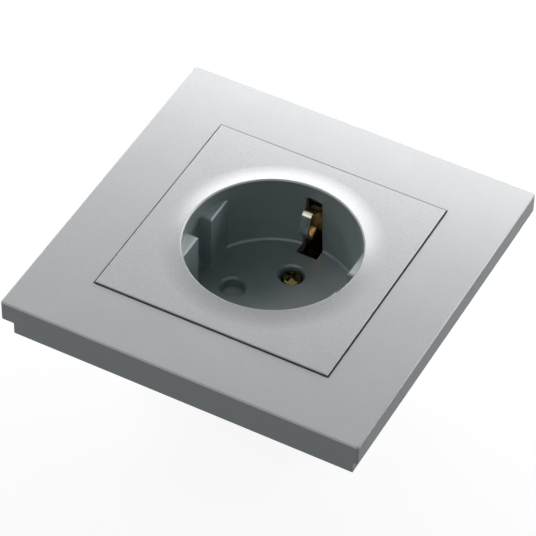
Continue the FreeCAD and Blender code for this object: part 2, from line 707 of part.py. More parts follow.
# Deck under the well: it carries the shutter's pivot and covers the contact chambers.
def make_contact_cover():
    body = new_body("contact_cover")
    disc = new_sketch(body, "deck_disc", level=DECK_UNDER)
    add_circle(disc, DECK_RADIUS)
    pad(body, disc, "Dims.deck_thick")
    rim = new_sketch(body, "deck_rim", level=DECK_TOP)
    add_circle(rim, DECK_RADIUS)
    add_circle(rim, f"{DECK_RADIUS} - Dims.deck_rim")
    pad(body, rim, f"{FLOOR_UNDER} - {DECK_TOP}")
    posts = new_sketch(body, "deck_posts", level=DECK_TOP)
    add_circle(posts, "Dims.pivot_radius")
    for angle in (STOP_ANGLE, f"180 - {STOP_ANGLE} - Dims.wing_travel"):
        x, y = radial(STOP_REACH, angle)
        add_circle(posts, "Dims.stop_radius", x=x, y=y)
    pad(body, posts, f"{SHUTTER_TOP} - {DECK_TOP}")
    holes = new_sketch(body, "deck_holes", level=DECK_TOP)
    for along in ("1", "-1"):
        add_circle(holes, f"{PIN_HOLE} + Dims.passage_play / 2", x=f"{along} * {PIN}")
    add_circle(holes, f"{SCREW_SHANK_HOLE} + Dims.screw_play", y="Dims.screw_offset")
    add_rectangle(holes, "Dims.spring_hole", "Dims.spring_hole", y=f"-{SPRING_RADIUS}")
    cut(body, holes, "Dims.deck_thick", along=False)
    drivers = new_sketch(body, "deck_driver_holes", level=DECK_TOP)
    for along in ("1", "-1"):
        add_rectangle(drivers, "Dims.driver_hole", "Dims.driver_hole", x=f"{along} * {CLAMP}")
    add_rectangle(drivers, "Dims.driver_hole", "Dims.driver_hole", y=f"-{EARTH_CLAMP}")
    cut(body, drivers, "Dims.deck_thick", along=False)
    ends = new_sketch(body, "deck_strap_notches", level=DECK_UNDER)
    inner = "(Dims.well_radius - Dims.notch_reach)"
    deep = f"{DECK_RADIUS} + Dims.cut_past - {inner}"
    for along in ("1", "-1"):
        add_rectangle(ends, STRAP_CHANNEL, deep, y=f"{along} * ({inner} + ({deep}) / 2)")
    cut(body, ends, f"{FLOOR_UNDER} - {DECK_UNDER}")
    return body


# Base: a round cup for the well, and below it the chambers for contacts, clamps and strap.
def make_socket_base():
    body = new_body("socket_base")
    foot = new_sketch(body, "base_foot", level=BASE_UNDER)
    add_rectangle(foot, FOOT_WIDTH, FOOT_DEPTH)
    pad(body, foot, f"{SHOULDER} - {BASE_UNDER}")
    bottom = value(BASE_UNDER)
    dress(body, "Fillet", "Dims.foot_corner", lambda low, high, edge: not level_at(low, high, low.z))
    dress(body, "Chamfer", "Dims.base_edge", lambda low, high, edge: level_at(low, high, bottom))
    shell = new_sketch(body, "base_shell", level=SHOULDER)
    add_circle(shell, BASE_RADIUS)
    pad(body, shell, f"-{SHOULDER}")
    sides = new_sketch(body, "base_flat_sides", level=SHOULDER)
    around = f"(2 * {BASE_RADIUS} + {BASE_WIDTH} + {BASE_DEPTH})"
    add_rectangle(sides, around, around)
    add_rectangle(sides, BASE_WIDTH, BASE_DEPTH)
    cut(body, sides, f"-{SHOULDER}")

    cup = new_sketch(body, "base_cup", level=DECK_UNDER)
    add_circle(cup, CUP_RADIUS)
    cut(body, cup, f"-{DECK_UNDER}")
    channel = new_sketch(body, "base_strap_channel", level=STRAP_UNDER)
    add_rectangle(channel, STRAP_CHANNEL, f"2 * {LEG_OUTER}")
    cut(body, channel, f"-{STRAP_UNDER}")
    forks = new_sketch(body, "base_contact_chambers", level=FORK_FLOOR)
    clamps = new_sketch(body, "base_clamp_chambers", level=CAGE_FLOOR)
    clamp_inner = f"({PIN} + {FORK_ROOM} / 2)"
    clamp_long = f"{CLAMP_ROOM_END} - {clamp_inner}"
    for along in ("1", "-1"):
        add_rectangle(forks, FORK_ROOM, CHAMBER_WIDTH, x=f"{along} * {PIN}")
        middle = f"{along} * ({CLAMP_ROOM_END} + {clamp_inner}) / 2"
        add_rectangle(clamps, clamp_long, CHAMBER_WIDTH, x=middle)
    add_rectangle(clamps, CHAMBER_WIDTH, CAGE_ROOM, y=f"-{EARTH_CLAMP}")
    cut(body, forks, f"{DECK_UNDER} - {FORK_FLOOR}")
    cut(body, clamps, f"{DECK_UNDER} - {CAGE_FLOOR}")
    relief = new_sketch(body, "base_screw_relief", level=STRAP_UNDER)
    add_circle(relief, SCREW_SHANK_HOLE, y="Dims.screw_offset")
    cut(body, relief, "Dims.screw_past + Dims.chamber_play", along=False)

    # Wires come in from three sides, under the tabs.
    window = "Dims.cage_inner - 2 * Dims.window_play"
    sides = new_sketch(body, "base_side_windows", plane="YZ_Plane")
    under_tab = f"{TAB} - Dims.fork_thick / 2 - Dims.window_step"
    add_rectangle(sides, window, "Dims.window_height", y=f"{under_tab} - Dims.window_height / 2")
    cut(body, sides, f"{BASE_WIDTH} + 2 * Dims.cut_past", middle=True)
    earth = new_sketch(body, "base_earth_window", plane="XZ_Plane", level=EARTH_CLAMP)
    under_shoulder = f"{SHOULDER} - Dims.window_step"
    add_rectangle(earth, window, "Dims.earth_window_height",
                  y=f"{under_shoulder} - Dims.earth_window_height / 2")
    cut(body, earth, f"{BASE_DEPTH} / 2")

    rivets = new_sketch(body, "base_rivet_holes")
    for along in ("1", "-1"):
        add_circle(rivets, RIVET_HOLE, x=f"{along} * {RIVET_AXIS}", y=f"{along} * {RIVET_AXIS}")
    cut(body, rivets, "Dims.rivet_length - Dims.ring_thick + Dims.chamber_play", along=False)
    return body


# Support ring: pressed steel, flat on the wall, with a drawn collar and four screw slots.
def make_support_ring():
    body = new_body("support_ring")
    blank = new_sketch(body, "ring_blank")
    add_rectangle(blank, RING_SIDE, RING_SIDE)
    add_circle(blank, RING_OPENING)
    pad(body, blank, "Dims.ring_thick")
    half = value(RING_SIDE) / 2
    dress(body, "Fillet", "Dims.ring_corner", lambda low, high, edge: at_corner(low, high, half))
    collar = new_sketch(body, "ring_collar", level="Dims.ring_thick")
    add_circle(collar, RING_OPENING)
    add_circle(collar, f"{RING_OPENING} + Dims.ring_collar")
    pad(body, collar, "Dims.ring_collar_rise")
    slots = new_sketch(body, "ring_screw_slots")
    straight = "(Dims.box_slot_length - Dims.box_slot_width) / 2"
    for side in ("1", "-1"):
        inner = f"{side} * Dims.box_spacing / 2 - {straight}"
        outer = f"{side} * Dims.box_spacing / 2 + {straight}"
        add_slot(slots, (inner, "0"), (outer, "0"), "Dims.box_slot_width")
        add_slot(slots, ("0", inner), ("0", outer), "Dims.box_slot_width")
    cut(body, slots, "Dims.ring_thick")
    holes = new_sketch(body, "ring_rivet_holes")
    for along in ("1", "-1"):
        add_circle(holes, RIVET_HOLE, x=f"{along} * {RIVET_AXIS}", y=f"{along} * {RIVET_AXIS}")
    cut(body, holes, "Dims.ring_thick")
    return body


# Rivets that hold the ring on the base.
def make_rivet(number, x, y):
    body = new_body(f"ring_rivet_{number}")
    section = new_sketch(body, f"rivet_section_{number}", plane="XZ_Plane")
    add_loop(section, [
        ("0", "-Dims.rivet_length"),
        ("Dims.rivet_radius", "-Dims.rivet_length"),
        ("Dims.rivet_radius", "0"),
        ("Dims.rivet_head", "0"),
        ("Dims.rivet_head_top", "Dims.rivet_head_thick"),
        ("0", "Dims.rivet_head_thick"),
    ])
    revolve(body, section)
    place(body, x=x, y=y, z="Dims.ring_thick")
    return body


def bent_strip(points, bend, thickness, width, middle=0.0):
    """A strip of sheet that follows points in the YZ plane, with a round bend at each corner."""
    left, right = [], []
    path = [FreeCAD.Vector(0, y, z) for y, z in points]
    along = FreeCAD.Vector(1, 0, 0)
    start_left = start_right = None
    for number, corner in enumerate(path):
        before = (corner - path[number - 1]).normalize() if number else None
        after = (path[number + 1] - corner).normalize() if number + 1 < len(path) else None
        heading = before or after
        side = along.cross(heading) * (thickness / 2)
        if before is None or after is None:
            ends = [(corner + side, corner - side)]
            bends = None
        else:
            turn = before.getAngle(after)
            cut_back = bend * math.tan(turn / 2)
            side_after = along.cross(after) * (thickness / 2)
            first, last = corner - before * cut_back, corner + after * cut_back
            inward = (after - before).normalize()
            centre = corner + inward * (bend / math.cos(turn / 2))
            outward = inward * -1
            left_is_inner = side.dot(inward) > 0
            radii = (bend - thickness / 2, bend + thickness / 2)
            left_top = centre + outward * (radii[0] if left_is_inner else radii[1])
            right_top = centre + outward * (radii[1] if left_is_inner else radii[0])
            ends = [(first + side, first - side), (last + side_after, last - side_after)]
            bends = (left_top, right_top)
        if start_left is not None:
            left.append(Part.makeLine(start_left, ends[0][0]))
            right.append(Part.makeLine(start_right, ends[0][1]))
        if bends:
            left.append(Part.Arc(ends[0][0], bends[0], ends[1][0]).toShape())
            right.append(Part.Arc(ends[0][1], bends[1], ends[1][1]).toShape())
        start_left, start_right = ends[-1]
        if number == 0:
            opening = Part.makeLine(ends[0][1], ends[0][0])
        if number + 1 == len(path):
            closing = Part.makeLine(ends[-1][0], ends[-1][1])
    outline = Part.Wire(Part.__sortEdges__([opening, *left, closing, *right]))
    face = Part.Face(outline)
    face.translate(FreeCAD.Vector(middle - width / 2, 0, 0))
    return face.extrude(FreeCAD.Vector(width, 0, 0))


def sheet_piece(name, shape, turn=0.0):
    """A formed sheet-metal piece, turned about the middle of the socket."""
    piece = doc.addObject("Part::Feature", name)
    piece.Label = name
    piece.Shape = shape.removeSplitter()
    piece.Placement = FreeCAD.Placement(FreeCAD.Vector(), FreeCAD.Rotation(FreeCAD.Vector(0, 0, 1), turn))
    return piece


# Earth strap: one bent strip. It crosses under the deck, rises outside the well on both sides
# and folds in through the slots, where its narrow ends are the spring clips.
def make_earth_strap():
    thick = value("Dims.strap_thick")
    tab = value(TAB)
    leg = value(STRAP_LEG)
    top = value(CLIP_TOP)
    well = value("Dims.well_radius")
    root = top - value("Dims.clip_root")
    shape = bent_strip([(-leg, root), (-leg, tab), (leg, tab), (leg, root)],
                       value("Dims.strap_bend"), thick, value("Dims.strap_width"))
    for side in (1, -1):
        clip = bent_strip([
            (side * leg, root - value("Dims.clip_lap")),
            (side * leg, top - value("Dims.clip_fall")),
            (side * (well - value("Dims.clip_shoulder_reach")), top),
            (side * (well - value("Dims.clip_belly_reach")), top - value("Dims.clip_belly_drop")),
            (side * (well - value("Dims.clip_heel_reach")), top - value("Dims.clip_heel_drop")),
            (side * (well - value("Dims.clip_tip_reach")), top - value("Dims.clip_tip_drop")),
        ], value("Dims.clip_bend"), thick, value("Dims.clip_width"))
        shape = shape.fuse(clip)
    radius = value("Dims.screw_thread / 2 + Dims.thread_play")
    thread = Part.makeCylinder(radius, 2 * thick, FreeCAD.Vector(0, value("Dims.screw_offset"), tab - thick))
    return sheet_piece("earth_strap", shape.cut(thread))


# Live contacts: a fork that grips the pin, with a tab folded out to the clamp.
def make_contact(name, turn):
    thick = value("Dims.fork_thick")
    pin = value(PIN)
    top = value(FORK_TOP)
    waist = top - value("Dims.fork_lead")
    straight = value(FORK_STRAIGHT)
    arm = [
        (straight + value("Dims.fork_flare"), top),
        (value(FORK_WAIST), waist),
        (straight, waist - value("Dims.fork_neck")),
        (straight, value(FORK_BOTTOM)),
    ]
    path = arm + [(-y, z) for y, z in reversed(arm)]
    fork = bent_strip(path, value("Dims.fork_bend"), thick, value("Dims.fork_width"), pin)
    tab = value(TAB)
    web = value("Dims.web_drop")
    inner_end = pin + value("Dims.fork_width") / 2
    outer_end = value(TAB_END)
    tab_path = [(straight, tab - web), (straight, tab), (-value("Dims.tab_width") / 2, tab)]
    tab_strip = bent_strip(tab_path, thick, thick, outer_end - inner_end, (outer_end + inner_end) / 2)
    corner = FreeCAD.Vector(inner_end + value("Dims.web_width"), 0, tab - thick - web)
    clear = Part.makeBox(outer_end, 2 * straight, web, corner)
    return sheet_piece(name, fork.fuse(tab_strip.cut(clear)), turn)


# Steel springs that press the fork arms together.
def make_contact_spring(name, turn):
    thick = value("Dims.grip_spring_thick")
    outside = value(GRIP_SPRING)
    away = outside - value(FORK_STRAIGHT)
    bottom = value(FORK_BOTTOM) - away
    top = value(TAB)
    path = [(outside, top), (outside, bottom), (-outside, bottom), (-outside, top)]
    bend = value("Dims.fork_bend") + away
    return sheet_piece(name, bent_strip(path, bend, thick, value("Dims.grip_spring_width"), value(PIN)), turn)


# Lift clamps: a square cage round the tab, with a tapped top.
def make_clamp_cage(name, x, y, turn):
    body = new_body(name)
    section = new_sketch(body, name + "_section", plane="YZ_Plane")
    height = "Dims.cage_height"
    window = f"({height} - Dims.cage_top_wall - Dims.cage_wall)"
    add_rectangle(section, "Dims.cage_inner + 2 * Dims.cage_wall", height, y=f"-{height} / 2")
    add_rectangle(section, "Dims.cage_inner", window, y=f"-Dims.cage_top_wall - {window} / 2")
    pad(body, section, "Dims.cage_length", middle=True)
    thread = new_sketch(body, name + "_thread")
    add_circle(thread, "Dims.clamp_thread / 2 + Dims.thread_play")
    cut(body, thread, "Dims.cage_top_wall", along=False)
    place(body, x=x, y=y, z=CAGE_TOP, turn=turn)
    return body


def make_clamp_screw(name, x, y, turn):
    body = new_body(name)
    section = new_sketch(body, name + "_section", plane="XZ_Plane")
    end = f"({TAB} + Dims.fork_thick / 2 - {CLAMP_SCREW_TOP})"
    add_loop(section, [
        ("0", end),
        ("Dims.clamp_thread / 2", end),
        ("Dims.clamp_thread / 2", "-Dims.clamp_head_thick"),
        ("Dims.clamp_head / 2", "-Dims.clamp_head_thick"),
        ("Dims.clamp_head / 2", "0"),
        ("0", "0"),
    ])
    revolve(body, section)
    slot = new_sketch(body, name + "_slot")
    add_rectangle(slot, "Dims.clamp_head + 2 * Dims.cut_past", "Dims.clamp_slot_width")
    cut(body, slot, "Dims.clamp_slot_depth", along=False)
    place(body, x=x, y=y, z=CLAMP_SCREW_TOP, turn=turn)
    return body


# Return spring: three quarters of a coil round the pivot. One leg goes down into the deck,
# the other up into the shutter.
def make_shutter_spring():
    wire = value("Dims.spring_wire")
    radius = value(SPRING_RADIUS)
    leg = value("Dims.spring_leg")
    deck = value(DECK_TOP)
    inner, outer = radius - wire / 2, radius + wire / 2
    foot = FreeCAD.Vector(0, 0, deck)
    upward = FreeCAD.Vector(0, 0, 1)
    coil = Part.makeCylinder(outer, wire, foot, upward, 270).cut(Part.makeCylinder(inner, wire, foot))
    coil.rotate(FreeCAD.Vector(), upward, -90)
    deck_leg = Part.makeBox(wire, wire, leg + wire, FreeCAD.Vector(-wire / 2, -outer, deck - leg))
    shutter_leg = Part.makeBox(wire, wire, leg + wire, FreeCAD.Vector(-outer, -wire / 2, deck))
    return sheet_piece("shutter_spring", coil.fuse([deck_leg, shutter_leg]))


pieces = [
    make_cover_frame(),
    make_centre_plate(),
    make_centre_screw(),
    make_shutter(),
    make_shutter_spring(),
    make_contact_cover(),
    make_socket_base(),
    make_support_ring(),
    make_rivet(1, RIVET_AXIS, RIVET_AXIS),
    make_rivet(2, f"-{RIVET_AXIS}", f"-{RIVET_AXIS}"),
    make_earth_strap(),
]
for side, turn in (("right", 0.0), ("left", 180.0)):
    pieces.append(make_contact(f"contact_{side}", turn))
    pieces.append(make_contact_spring(f"contact_spring_{side}", turn))
for side, x, y, turn in (
    ("right", CLAMP, "0", 0.0),
    ("left", f"-{CLAMP}", "0", 180.0),
    ("earth", "0", f"-{EARTH_CLAMP}", 270.0),
):
    pieces.append(make_clamp_cage(f"clamp_cage_{side}", x, y, turn))
    pieces.append(make_clamp_screw(f"clamp_screw_{side}", x, y, turn + SCREW_TURN))
doc.recompute()

for item in doc.Objects:
    if "Invalid" in item.State or "Error" in item.State:
        raise RuntimeError(f"{item.Name} failed: {item.State}")
os.makedirs("parts", exist_ok=True)
for piece in pieces:
    shape = piece.Shape
    if shape.isNull() or not shape.isValid() or len(shape.Solids) != 1:
        raise RuntimeError(f"{piece.Label} is not one valid solid")
    shape.exportStep(os.path.join("parts", piece.Label + ".step"))
    print(f"{piece.Label}: {shape.Volume:.1f} mm3")
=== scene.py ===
import math

import bpy
from mathutils import Matrix, Vector


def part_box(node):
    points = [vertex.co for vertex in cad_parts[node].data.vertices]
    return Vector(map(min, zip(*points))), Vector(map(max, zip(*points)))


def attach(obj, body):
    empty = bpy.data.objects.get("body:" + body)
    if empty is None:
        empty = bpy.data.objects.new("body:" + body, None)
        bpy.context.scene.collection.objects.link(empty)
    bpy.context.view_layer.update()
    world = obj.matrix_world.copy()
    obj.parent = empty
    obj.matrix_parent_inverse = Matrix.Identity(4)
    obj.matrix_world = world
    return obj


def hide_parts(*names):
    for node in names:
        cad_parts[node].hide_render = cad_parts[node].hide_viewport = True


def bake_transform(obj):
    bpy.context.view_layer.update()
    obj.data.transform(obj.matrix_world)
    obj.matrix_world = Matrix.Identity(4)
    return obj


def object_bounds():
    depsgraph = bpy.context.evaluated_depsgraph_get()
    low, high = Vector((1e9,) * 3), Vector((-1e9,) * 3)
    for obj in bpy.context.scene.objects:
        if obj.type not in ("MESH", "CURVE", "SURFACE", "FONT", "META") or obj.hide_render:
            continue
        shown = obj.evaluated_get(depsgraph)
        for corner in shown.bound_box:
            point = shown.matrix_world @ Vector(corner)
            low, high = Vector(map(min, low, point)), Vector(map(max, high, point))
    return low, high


# A Type F wall socket: silver lacquered frame and centre plate, slate well, brass and zinc inside.
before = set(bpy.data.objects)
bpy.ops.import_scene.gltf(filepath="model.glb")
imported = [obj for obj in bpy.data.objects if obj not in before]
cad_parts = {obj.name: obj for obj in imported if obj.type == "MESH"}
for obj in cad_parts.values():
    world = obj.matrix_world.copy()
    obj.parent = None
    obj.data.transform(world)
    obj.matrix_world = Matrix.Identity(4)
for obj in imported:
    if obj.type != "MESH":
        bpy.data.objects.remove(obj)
cadLow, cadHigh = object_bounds()
scene = bpy.context.scene
mm = 0.001
print("frame loaded:", len(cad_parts), "nodes")


# Colours are written as sRGB hex and turned to the linear values that shaders take.
def srgb(hexColour):
    channels = [int(hexColour[i:i + 2], 16) / 255 for i in (1, 3, 5)]
    linear = [c / 12.92 if c <= 0.04045 else ((c + 0.055) / 1.055) ** 2.4 for c in channels]
    return (*linear, 1.0)


# Adds one node to a shader or geometry tree. Links are values, or sockets of other nodes.
def addNode(tree, kind, settings=None, links=None):
    node = tree.nodes.new(kind)
    for key, setting in (settings or {}).items():
        setattr(node, key, setting)
    for key, given in (links or {}).items():
        if isinstance(given, bpy.types.NodeSocket):
            tree.links.new(given, node.inputs[key])
        else:
            node.inputs[key].default_value = given
    return node


def newMaterial(name):
    material = bpy.data.materials.new(name)
    material.use_nodes = True
    material.node_tree.nodes.clear()
    return material, material.node_tree


# The last nodes of a material: fine relief on its surface, the shader and the output.
def closeMaterial(tree, relief, channels):
    skin = addNode(tree, "ShaderNodeBump", {}, relief)
    shader = addNode(tree, "ShaderNodeBsdfPrincipled", {}, {**channels, "Normal": skin.outputs[0]})
    addNode(tree, "ShaderNodeOutputMaterial", {}, {"Surface": shader.outputs[0]})


# Noise keeps near its middle, so only this part of it is spread over a surface's roughness.
noiseSpan = {"low": 0.3, "high": 0.7}
bevelSamples = 4  # rays that round a sharp edge in the shading


# A fine and a coarse noise mottle a surface between its deep and its pale colour, and its roughness
# follows the fine one. Returns both, the fine noise for the relief, and the mottling.
def mottledSurface(tree, finePlace, place, facts):
    fine = addNode(tree, "ShaderNodeTexNoise", {}, {
        "Vector": finePlace, "Scale": 1 / facts["grainSize"], "Detail": facts["grainDetail"]})
    patches = addNode(tree, "ShaderNodeTexNoise", {}, {
        "Vector": place, "Scale": 1 / facts["patchSize"]})
    mixed = addNode(tree, "ShaderNodeMix", {}, {
        0: facts["patchShare"], 2: fine.outputs[0], 3: patches.outputs[0]})
    mottling = addNode(tree, "ShaderNodeMapRange", {}, {
        0: mixed.outputs[0], 1: facts["mottleLow"], 2: facts["mottleHigh"]})
    colour = addNode(tree, "ShaderNodeMix", {"data_type": "RGBA"}, {
        0: mottling.outputs[0], 6: srgb(facts["deep"]), 7: srgb(facts["pale"])})
    rough = addNode(tree, "ShaderNodeMapRange", {}, {
        0: fine.outputs[0], 1: noiseSpan["low"], 2: noiseSpan["high"],
        3: facts["roughness"] - facts["roughSpread"], 4: facts["roughness"] + facts["roughSpread"]})
    return colour.outputs[2], rough.outputs[0], fine.outputs[0], mottling.outputs[0]


# Silver lacquer on moulded ABS: fine aluminium flakes in a satin binder, with a faint orange peel.
# The sides got less of it and are duller, and their darker colour is painted shade. The flakes are
# drawn about five times too coarse, or they would not show.
lacquer = {
    "pale": "#C8CACC", "deep": "#BBBDBF", "mottleLow": 0.3, "mottleHigh": 0.7,
    "grainSize": 0.2 * mm, "grainDetail": 1.0, "patchSize": 9 * mm, "patchShare": 0.25,
    "roughness": 0.3, "roughSpread": 0.04, "metallic": 0.12,
    "side": "#858A8D", "sideRoughness": 0.55, "sideSlope": 0.1, "topSlope": 0.75,
    "peelSize": 0.8 * mm, "peelHeight": 0.002 * mm, "edge": 0.15 * mm,
}


def lacquerSurface(tree, place):
    coat, satin = mottledSurface(tree, place, place, lacquer)[:2]
    peel = addNode(tree, "ShaderNodeTexNoise", {}, {
        "Vector": place, "Scale": 1 / lacquer["peelSize"]})
    normal = addNode(tree, "ShaderNodeSeparateXYZ", {}, {
        0: addNode(tree, "ShaderNodeNewGeometry").outputs["Normal"]})
    levelAndUnshaded = addNode(tree, "ShaderNodeMapRange", {}, {
        0: normal.outputs[2], 1: lacquer["sideSlope"], 2: lacquer["topSlope"]})
    # Painted shade: faces that turn from level towards upright take the darker side colour.
    colour = addNode(tree, "ShaderNodeMix", {"data_type": "RGBA"}, {
        0: levelAndUnshaded.outputs[0], 6: srgb(lacquer["side"]), 7: coat})
    rough = addNode(tree, "ShaderNodeMix", {}, {
        0: levelAndUnshaded.outputs[0], 2: lacquer["sideRoughness"], 3: satin})
    return colour.outputs[2], rough.outputs[0], peel.outputs[0]


def makeLacqueredAbs():
    material, tree = newMaterial("silverLacqueredAbs")
    place = addNode(tree, "ShaderNodeTexCoord").outputs["Object"]
    colour, rough, peel = lacquerSurface(tree, place)
    edges = addNode(tree, "ShaderNodeBevel", {"samples": bevelSamples}, {"Radius": lacquer["edge"]})
    closeMaterial(
        tree, {"Height": peel, "Distance": lacquer["peelHeight"], "Normal": edges.outputs[0]},
        {"Base Color": colour, "Roughness": rough, "Metallic": lacquer["metallic"]})
    return material


# Slate ABS, coloured through, with the even satin grain of a spark-eroded mould. Its edges carry a
# painted highlight: they are paler where the surface turns away from the rounded normal.
slate = {
    "pale": "#919EA0", "deep": "#899698", "mottleLow": 0.3, "mottleHigh": 0.7,
    "grainSize": 0.3 * mm, "grainDetail": 3.0, "patchSize": 4 * mm, "patchShare": 0.4,
    "roughness": 0.34, "roughSpread": 0.05, "grainHeight": 0.002 * mm,
    "paintedHighlightColour": "#C4CFD1", "edgeNone": 0.97, "edgeFull": 0.82, "edgeSamples": 6, "ior": 1.56,
}
# The centre plate is one slate moulding, sprayed silver on its face. The spray ends just inside the
# rim and misses the underside. It settles on the level tops of the guide blocks. The top of the
# block at the back left is kept bare slate as a painted shadow, and the far side of the well's
# floor is painted silver as painted light, growing towards that side.
spray = {
    "rimOuter": 19.6 * mm, "rimInner": 19.3 * mm, "rimTop": 0.25 * mm, "rimFoot": 0.55 * mm,
    "underTop": 3.2 * mm, "underFoot": 3.7 * mm, "steep": 0.6, "level": 0.9,
    "blockFoot": 6.75 * mm, "blockTop": 7.0 * mm, "blockCover": 0.85,
    "paintedShadowStart": 17 * mm, "paintedShadowFull": 18.5 * mm,
    "paintedLightMist": 0.6, "paintedLightStart": -10 * mm, "paintedLightFull": 14 * mm,
}


# How much silver a level surface inside the well takes, from 0 to 1: spray on the guide blocks'
# tops, none under a painted shadow on one of them, and painted light on the well's floor.
def sprayAndPaintedLight(tree, x, y, z):
    normal = addNode(tree, "ShaderNodeSeparateXYZ", {}, {
        0: addNode(tree, "ShaderNodeNewGeometry").outputs["Normal"]})
    onBlocks = addNode(tree, "ShaderNodeMapRange", {}, {
        0: z, 1: spray["blockFoot"], 2: spray["blockTop"]})
    # Painted shadow: past a line across the back left of the well, the block top there gets no
    # silver and stays dark.
    across = addNode(tree, "ShaderNodeMath", {"operation": "SUBTRACT"}, {0: y, 1: x})
    outsidePaintedShadow = addNode(tree, "ShaderNodeMapRange", {}, {
        0: across.outputs[0], 1: spray["paintedShadowFull"], 2: spray["paintedShadowStart"],
        4: spray["blockCover"]})
    levelAndUnshaded = addNode(tree, "ShaderNodeMapRange", {}, {
        0: normal.outputs[2], 1: spray["steep"], 2: spray["level"], 4: outsidePaintedShadow.outputs[0]})
    # Painted light: the well's floor is painted paler towards +x, where light falls on it.
    paintedLightMist = addNode(tree, "ShaderNodeMapRange", {"interpolation_type": "SMOOTHSTEP"}, {
        0: x, 1: spray["paintedLightStart"], 2: spray["paintedLightFull"], 4: spray["paintedLightMist"]})
    blockSprayAndFloorLight = addNode(tree, "ShaderNodeMix", {}, {0: onBlocks.outputs[0], 2: paintedLightMist.outputs[0], 3: 1.0})
    return addNode(tree, "ShaderNodeMath", {"operation": "MULTIPLY"}, {
        0: blockSprayAndFloorLight.outputs[0], 1: levelAndUnshaded.outputs[0]}).outputs[0]


# One where the plate is bare slate, in the well and under the face, and zero where it is silver;
# inside the well the painted light and painted shadow also set it.
def bareSlate(tree, place):
    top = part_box("centre_plate")[1].z
    x, y, z = addNode(tree, "ShaderNodeSeparateXYZ", {}, {0: place}).outputs
    onPlane = addNode(tree, "ShaderNodeCombineXYZ", {}, {0: x, 1: y})
    radius = addNode(tree, "ShaderNodeVectorMath", {"operation": "LENGTH"}, {0: onPlane.outputs[0]})
    inside = addNode(tree, "ShaderNodeMapRange", {}, {
        0: radius.outputs["Value"], 1: spray["rimOuter"], 2: spray["rimInner"]})
    below = addNode(tree, "ShaderNodeMapRange", {}, {
        0: z, 1: top - spray["rimTop"], 2: top - spray["rimFoot"]})
    inWell = addNode(tree, "ShaderNodeMath", {"operation": "MULTIPLY"}, {
        0: inside.outputs[0], 1: below.outputs[0]})
    notSilvered = addNode(tree, "ShaderNodeMath", {"operation": "SUBTRACT"}, {
        0: 1.0, 1: sprayAndPaintedLight(tree, x, y, z)})
    bareWell = addNode(tree, "ShaderNodeMath", {"operation": "MULTIPLY"}, {
        0: inWell.outputs[0], 1: notSilvered.outputs[0]})
    under = addNode(tree, "ShaderNodeMapRange", {}, {
        0: z, 1: top - spray["underTop"], 2: top - spray["underFoot"]})
    outside = addNode(tree, "ShaderNodeMath", {"operation": "SUBTRACT"}, {
        0: 1.0, 1: inside.outputs[0]})
    bareUnder = addNode(tree, "ShaderNodeMath", {"operation": "MULTIPLY"}, {
        0: under.outputs[0], 1: outside.outputs[0]})
    return addNode(tree, "ShaderNodeMath", {"operation": "MAXIMUM"}, {
        0: bareWell.outputs[0], 1: bareUnder.outputs[0]}).outputs[0]


# One along sharp edges, where the moulding gets a painted highlight, and zero elsewhere.
def paintedEdgeHighlight(tree, softNormal):
    normal = addNode(tree, "ShaderNodeNewGeometry").outputs["Normal"]
    bend = addNode(tree, "ShaderNodeVectorMath", {"operation": "DOT_PRODUCT"}, {
        0: softNormal, 1: normal})
    return addNode(tree, "ShaderNodeMapRange", {}, {
        0: bend.outputs["Value"], 1: slate["edgeNone"], 2: slate["edgeFull"]}).outputs[0]


def makePlateMaterial():
    material, tree = newMaterial("silverLacquerOnSlateAbs")
    place = addNode(tree, "ShaderNodeTexCoord").outputs["Object"]
    silver, silverRough, peel = lacquerSurface(tree, place)
    dark, darkRough, grain = mottledSurface(tree, place, place, slate)[:3]
    bare = bareSlate(tree, place)
    edges = addNode(tree, "ShaderNodeBevel", {"samples": slate["edgeSamples"]}, {
        "Radius": lacquer["edge"]})
    # Painted highlight: the sharp edges of the bare slate are lightened.
    withPaintedHighlight = addNode(tree, "ShaderNodeMix", {"data_type": "RGBA"}, {
        0: paintedEdgeHighlight(tree, edges.outputs[0]), 6: dark, 7: srgb(slate["paintedHighlightColour"])})
    colour = addNode(tree, "ShaderNodeMix", {"data_type": "RGBA"}, {
        0: bare, 6: silver, 7: withPaintedHighlight.outputs[2]})
    rough = addNode(tree, "ShaderNodeMix", {}, {0: bare, 2: silverRough, 3: darkRough})
    metallic = addNode(tree, "ShaderNodeMapRange", {}, {0: bare, 3: lacquer["metallic"], 4: 0.0})
    skin = addNode(tree, "ShaderNodeBump", {}, {
        "Height": peel, "Distance": lacquer["peelHeight"], "Normal": edges.outputs[0]})
    closeMaterial(
        tree, {"Height": grain, "Distance": slate["grainHeight"], "Strength": bare,
               "Normal": skin.outputs[0]},
        {"Base Color": colour.outputs[2], "Roughness": rough.outputs[0],
         "Metallic": metallic.outputs[0], "IOR": slate["ior"]})
    return material


# Plain mouldings: fine satin grain, and faint mottling from the flow of the melt.
mouldings = {
    "shutter": {
        "name": "slateMouldedPbt", "pale": "#D3DCDE", "deep": "#C8D2D4", "roughness": 0.42,
        "grainSize": 0.35 * mm, "patchSize": 4.9 * mm},
    "contact_cover": {
        "name": "darkMouldedPolycarbonate", "pale": "#3E4547", "deep": "#363D3F", "roughness": 0.4,
        "grainSize": 0.4 * mm, "patchSize": 5.6 * mm},
    "socket_base": {
        "name": "whiteMouldedUrea", "pale": "#D8D9D4", "deep": "#CBCCC6", "roughness": 0.45,
        "grainSize": 0.5 * mm, "patchSize": 7 * mm},
}
mouldSkin = {
    "mottleLow": 0.3, "mottleHigh": 0.7, "grainDetail": 3.0, "patchShare": 0.5,
    "roughSpread": 0.05, "grainHeight": 0.004 * mm, "edge": 0.2 * mm,
}


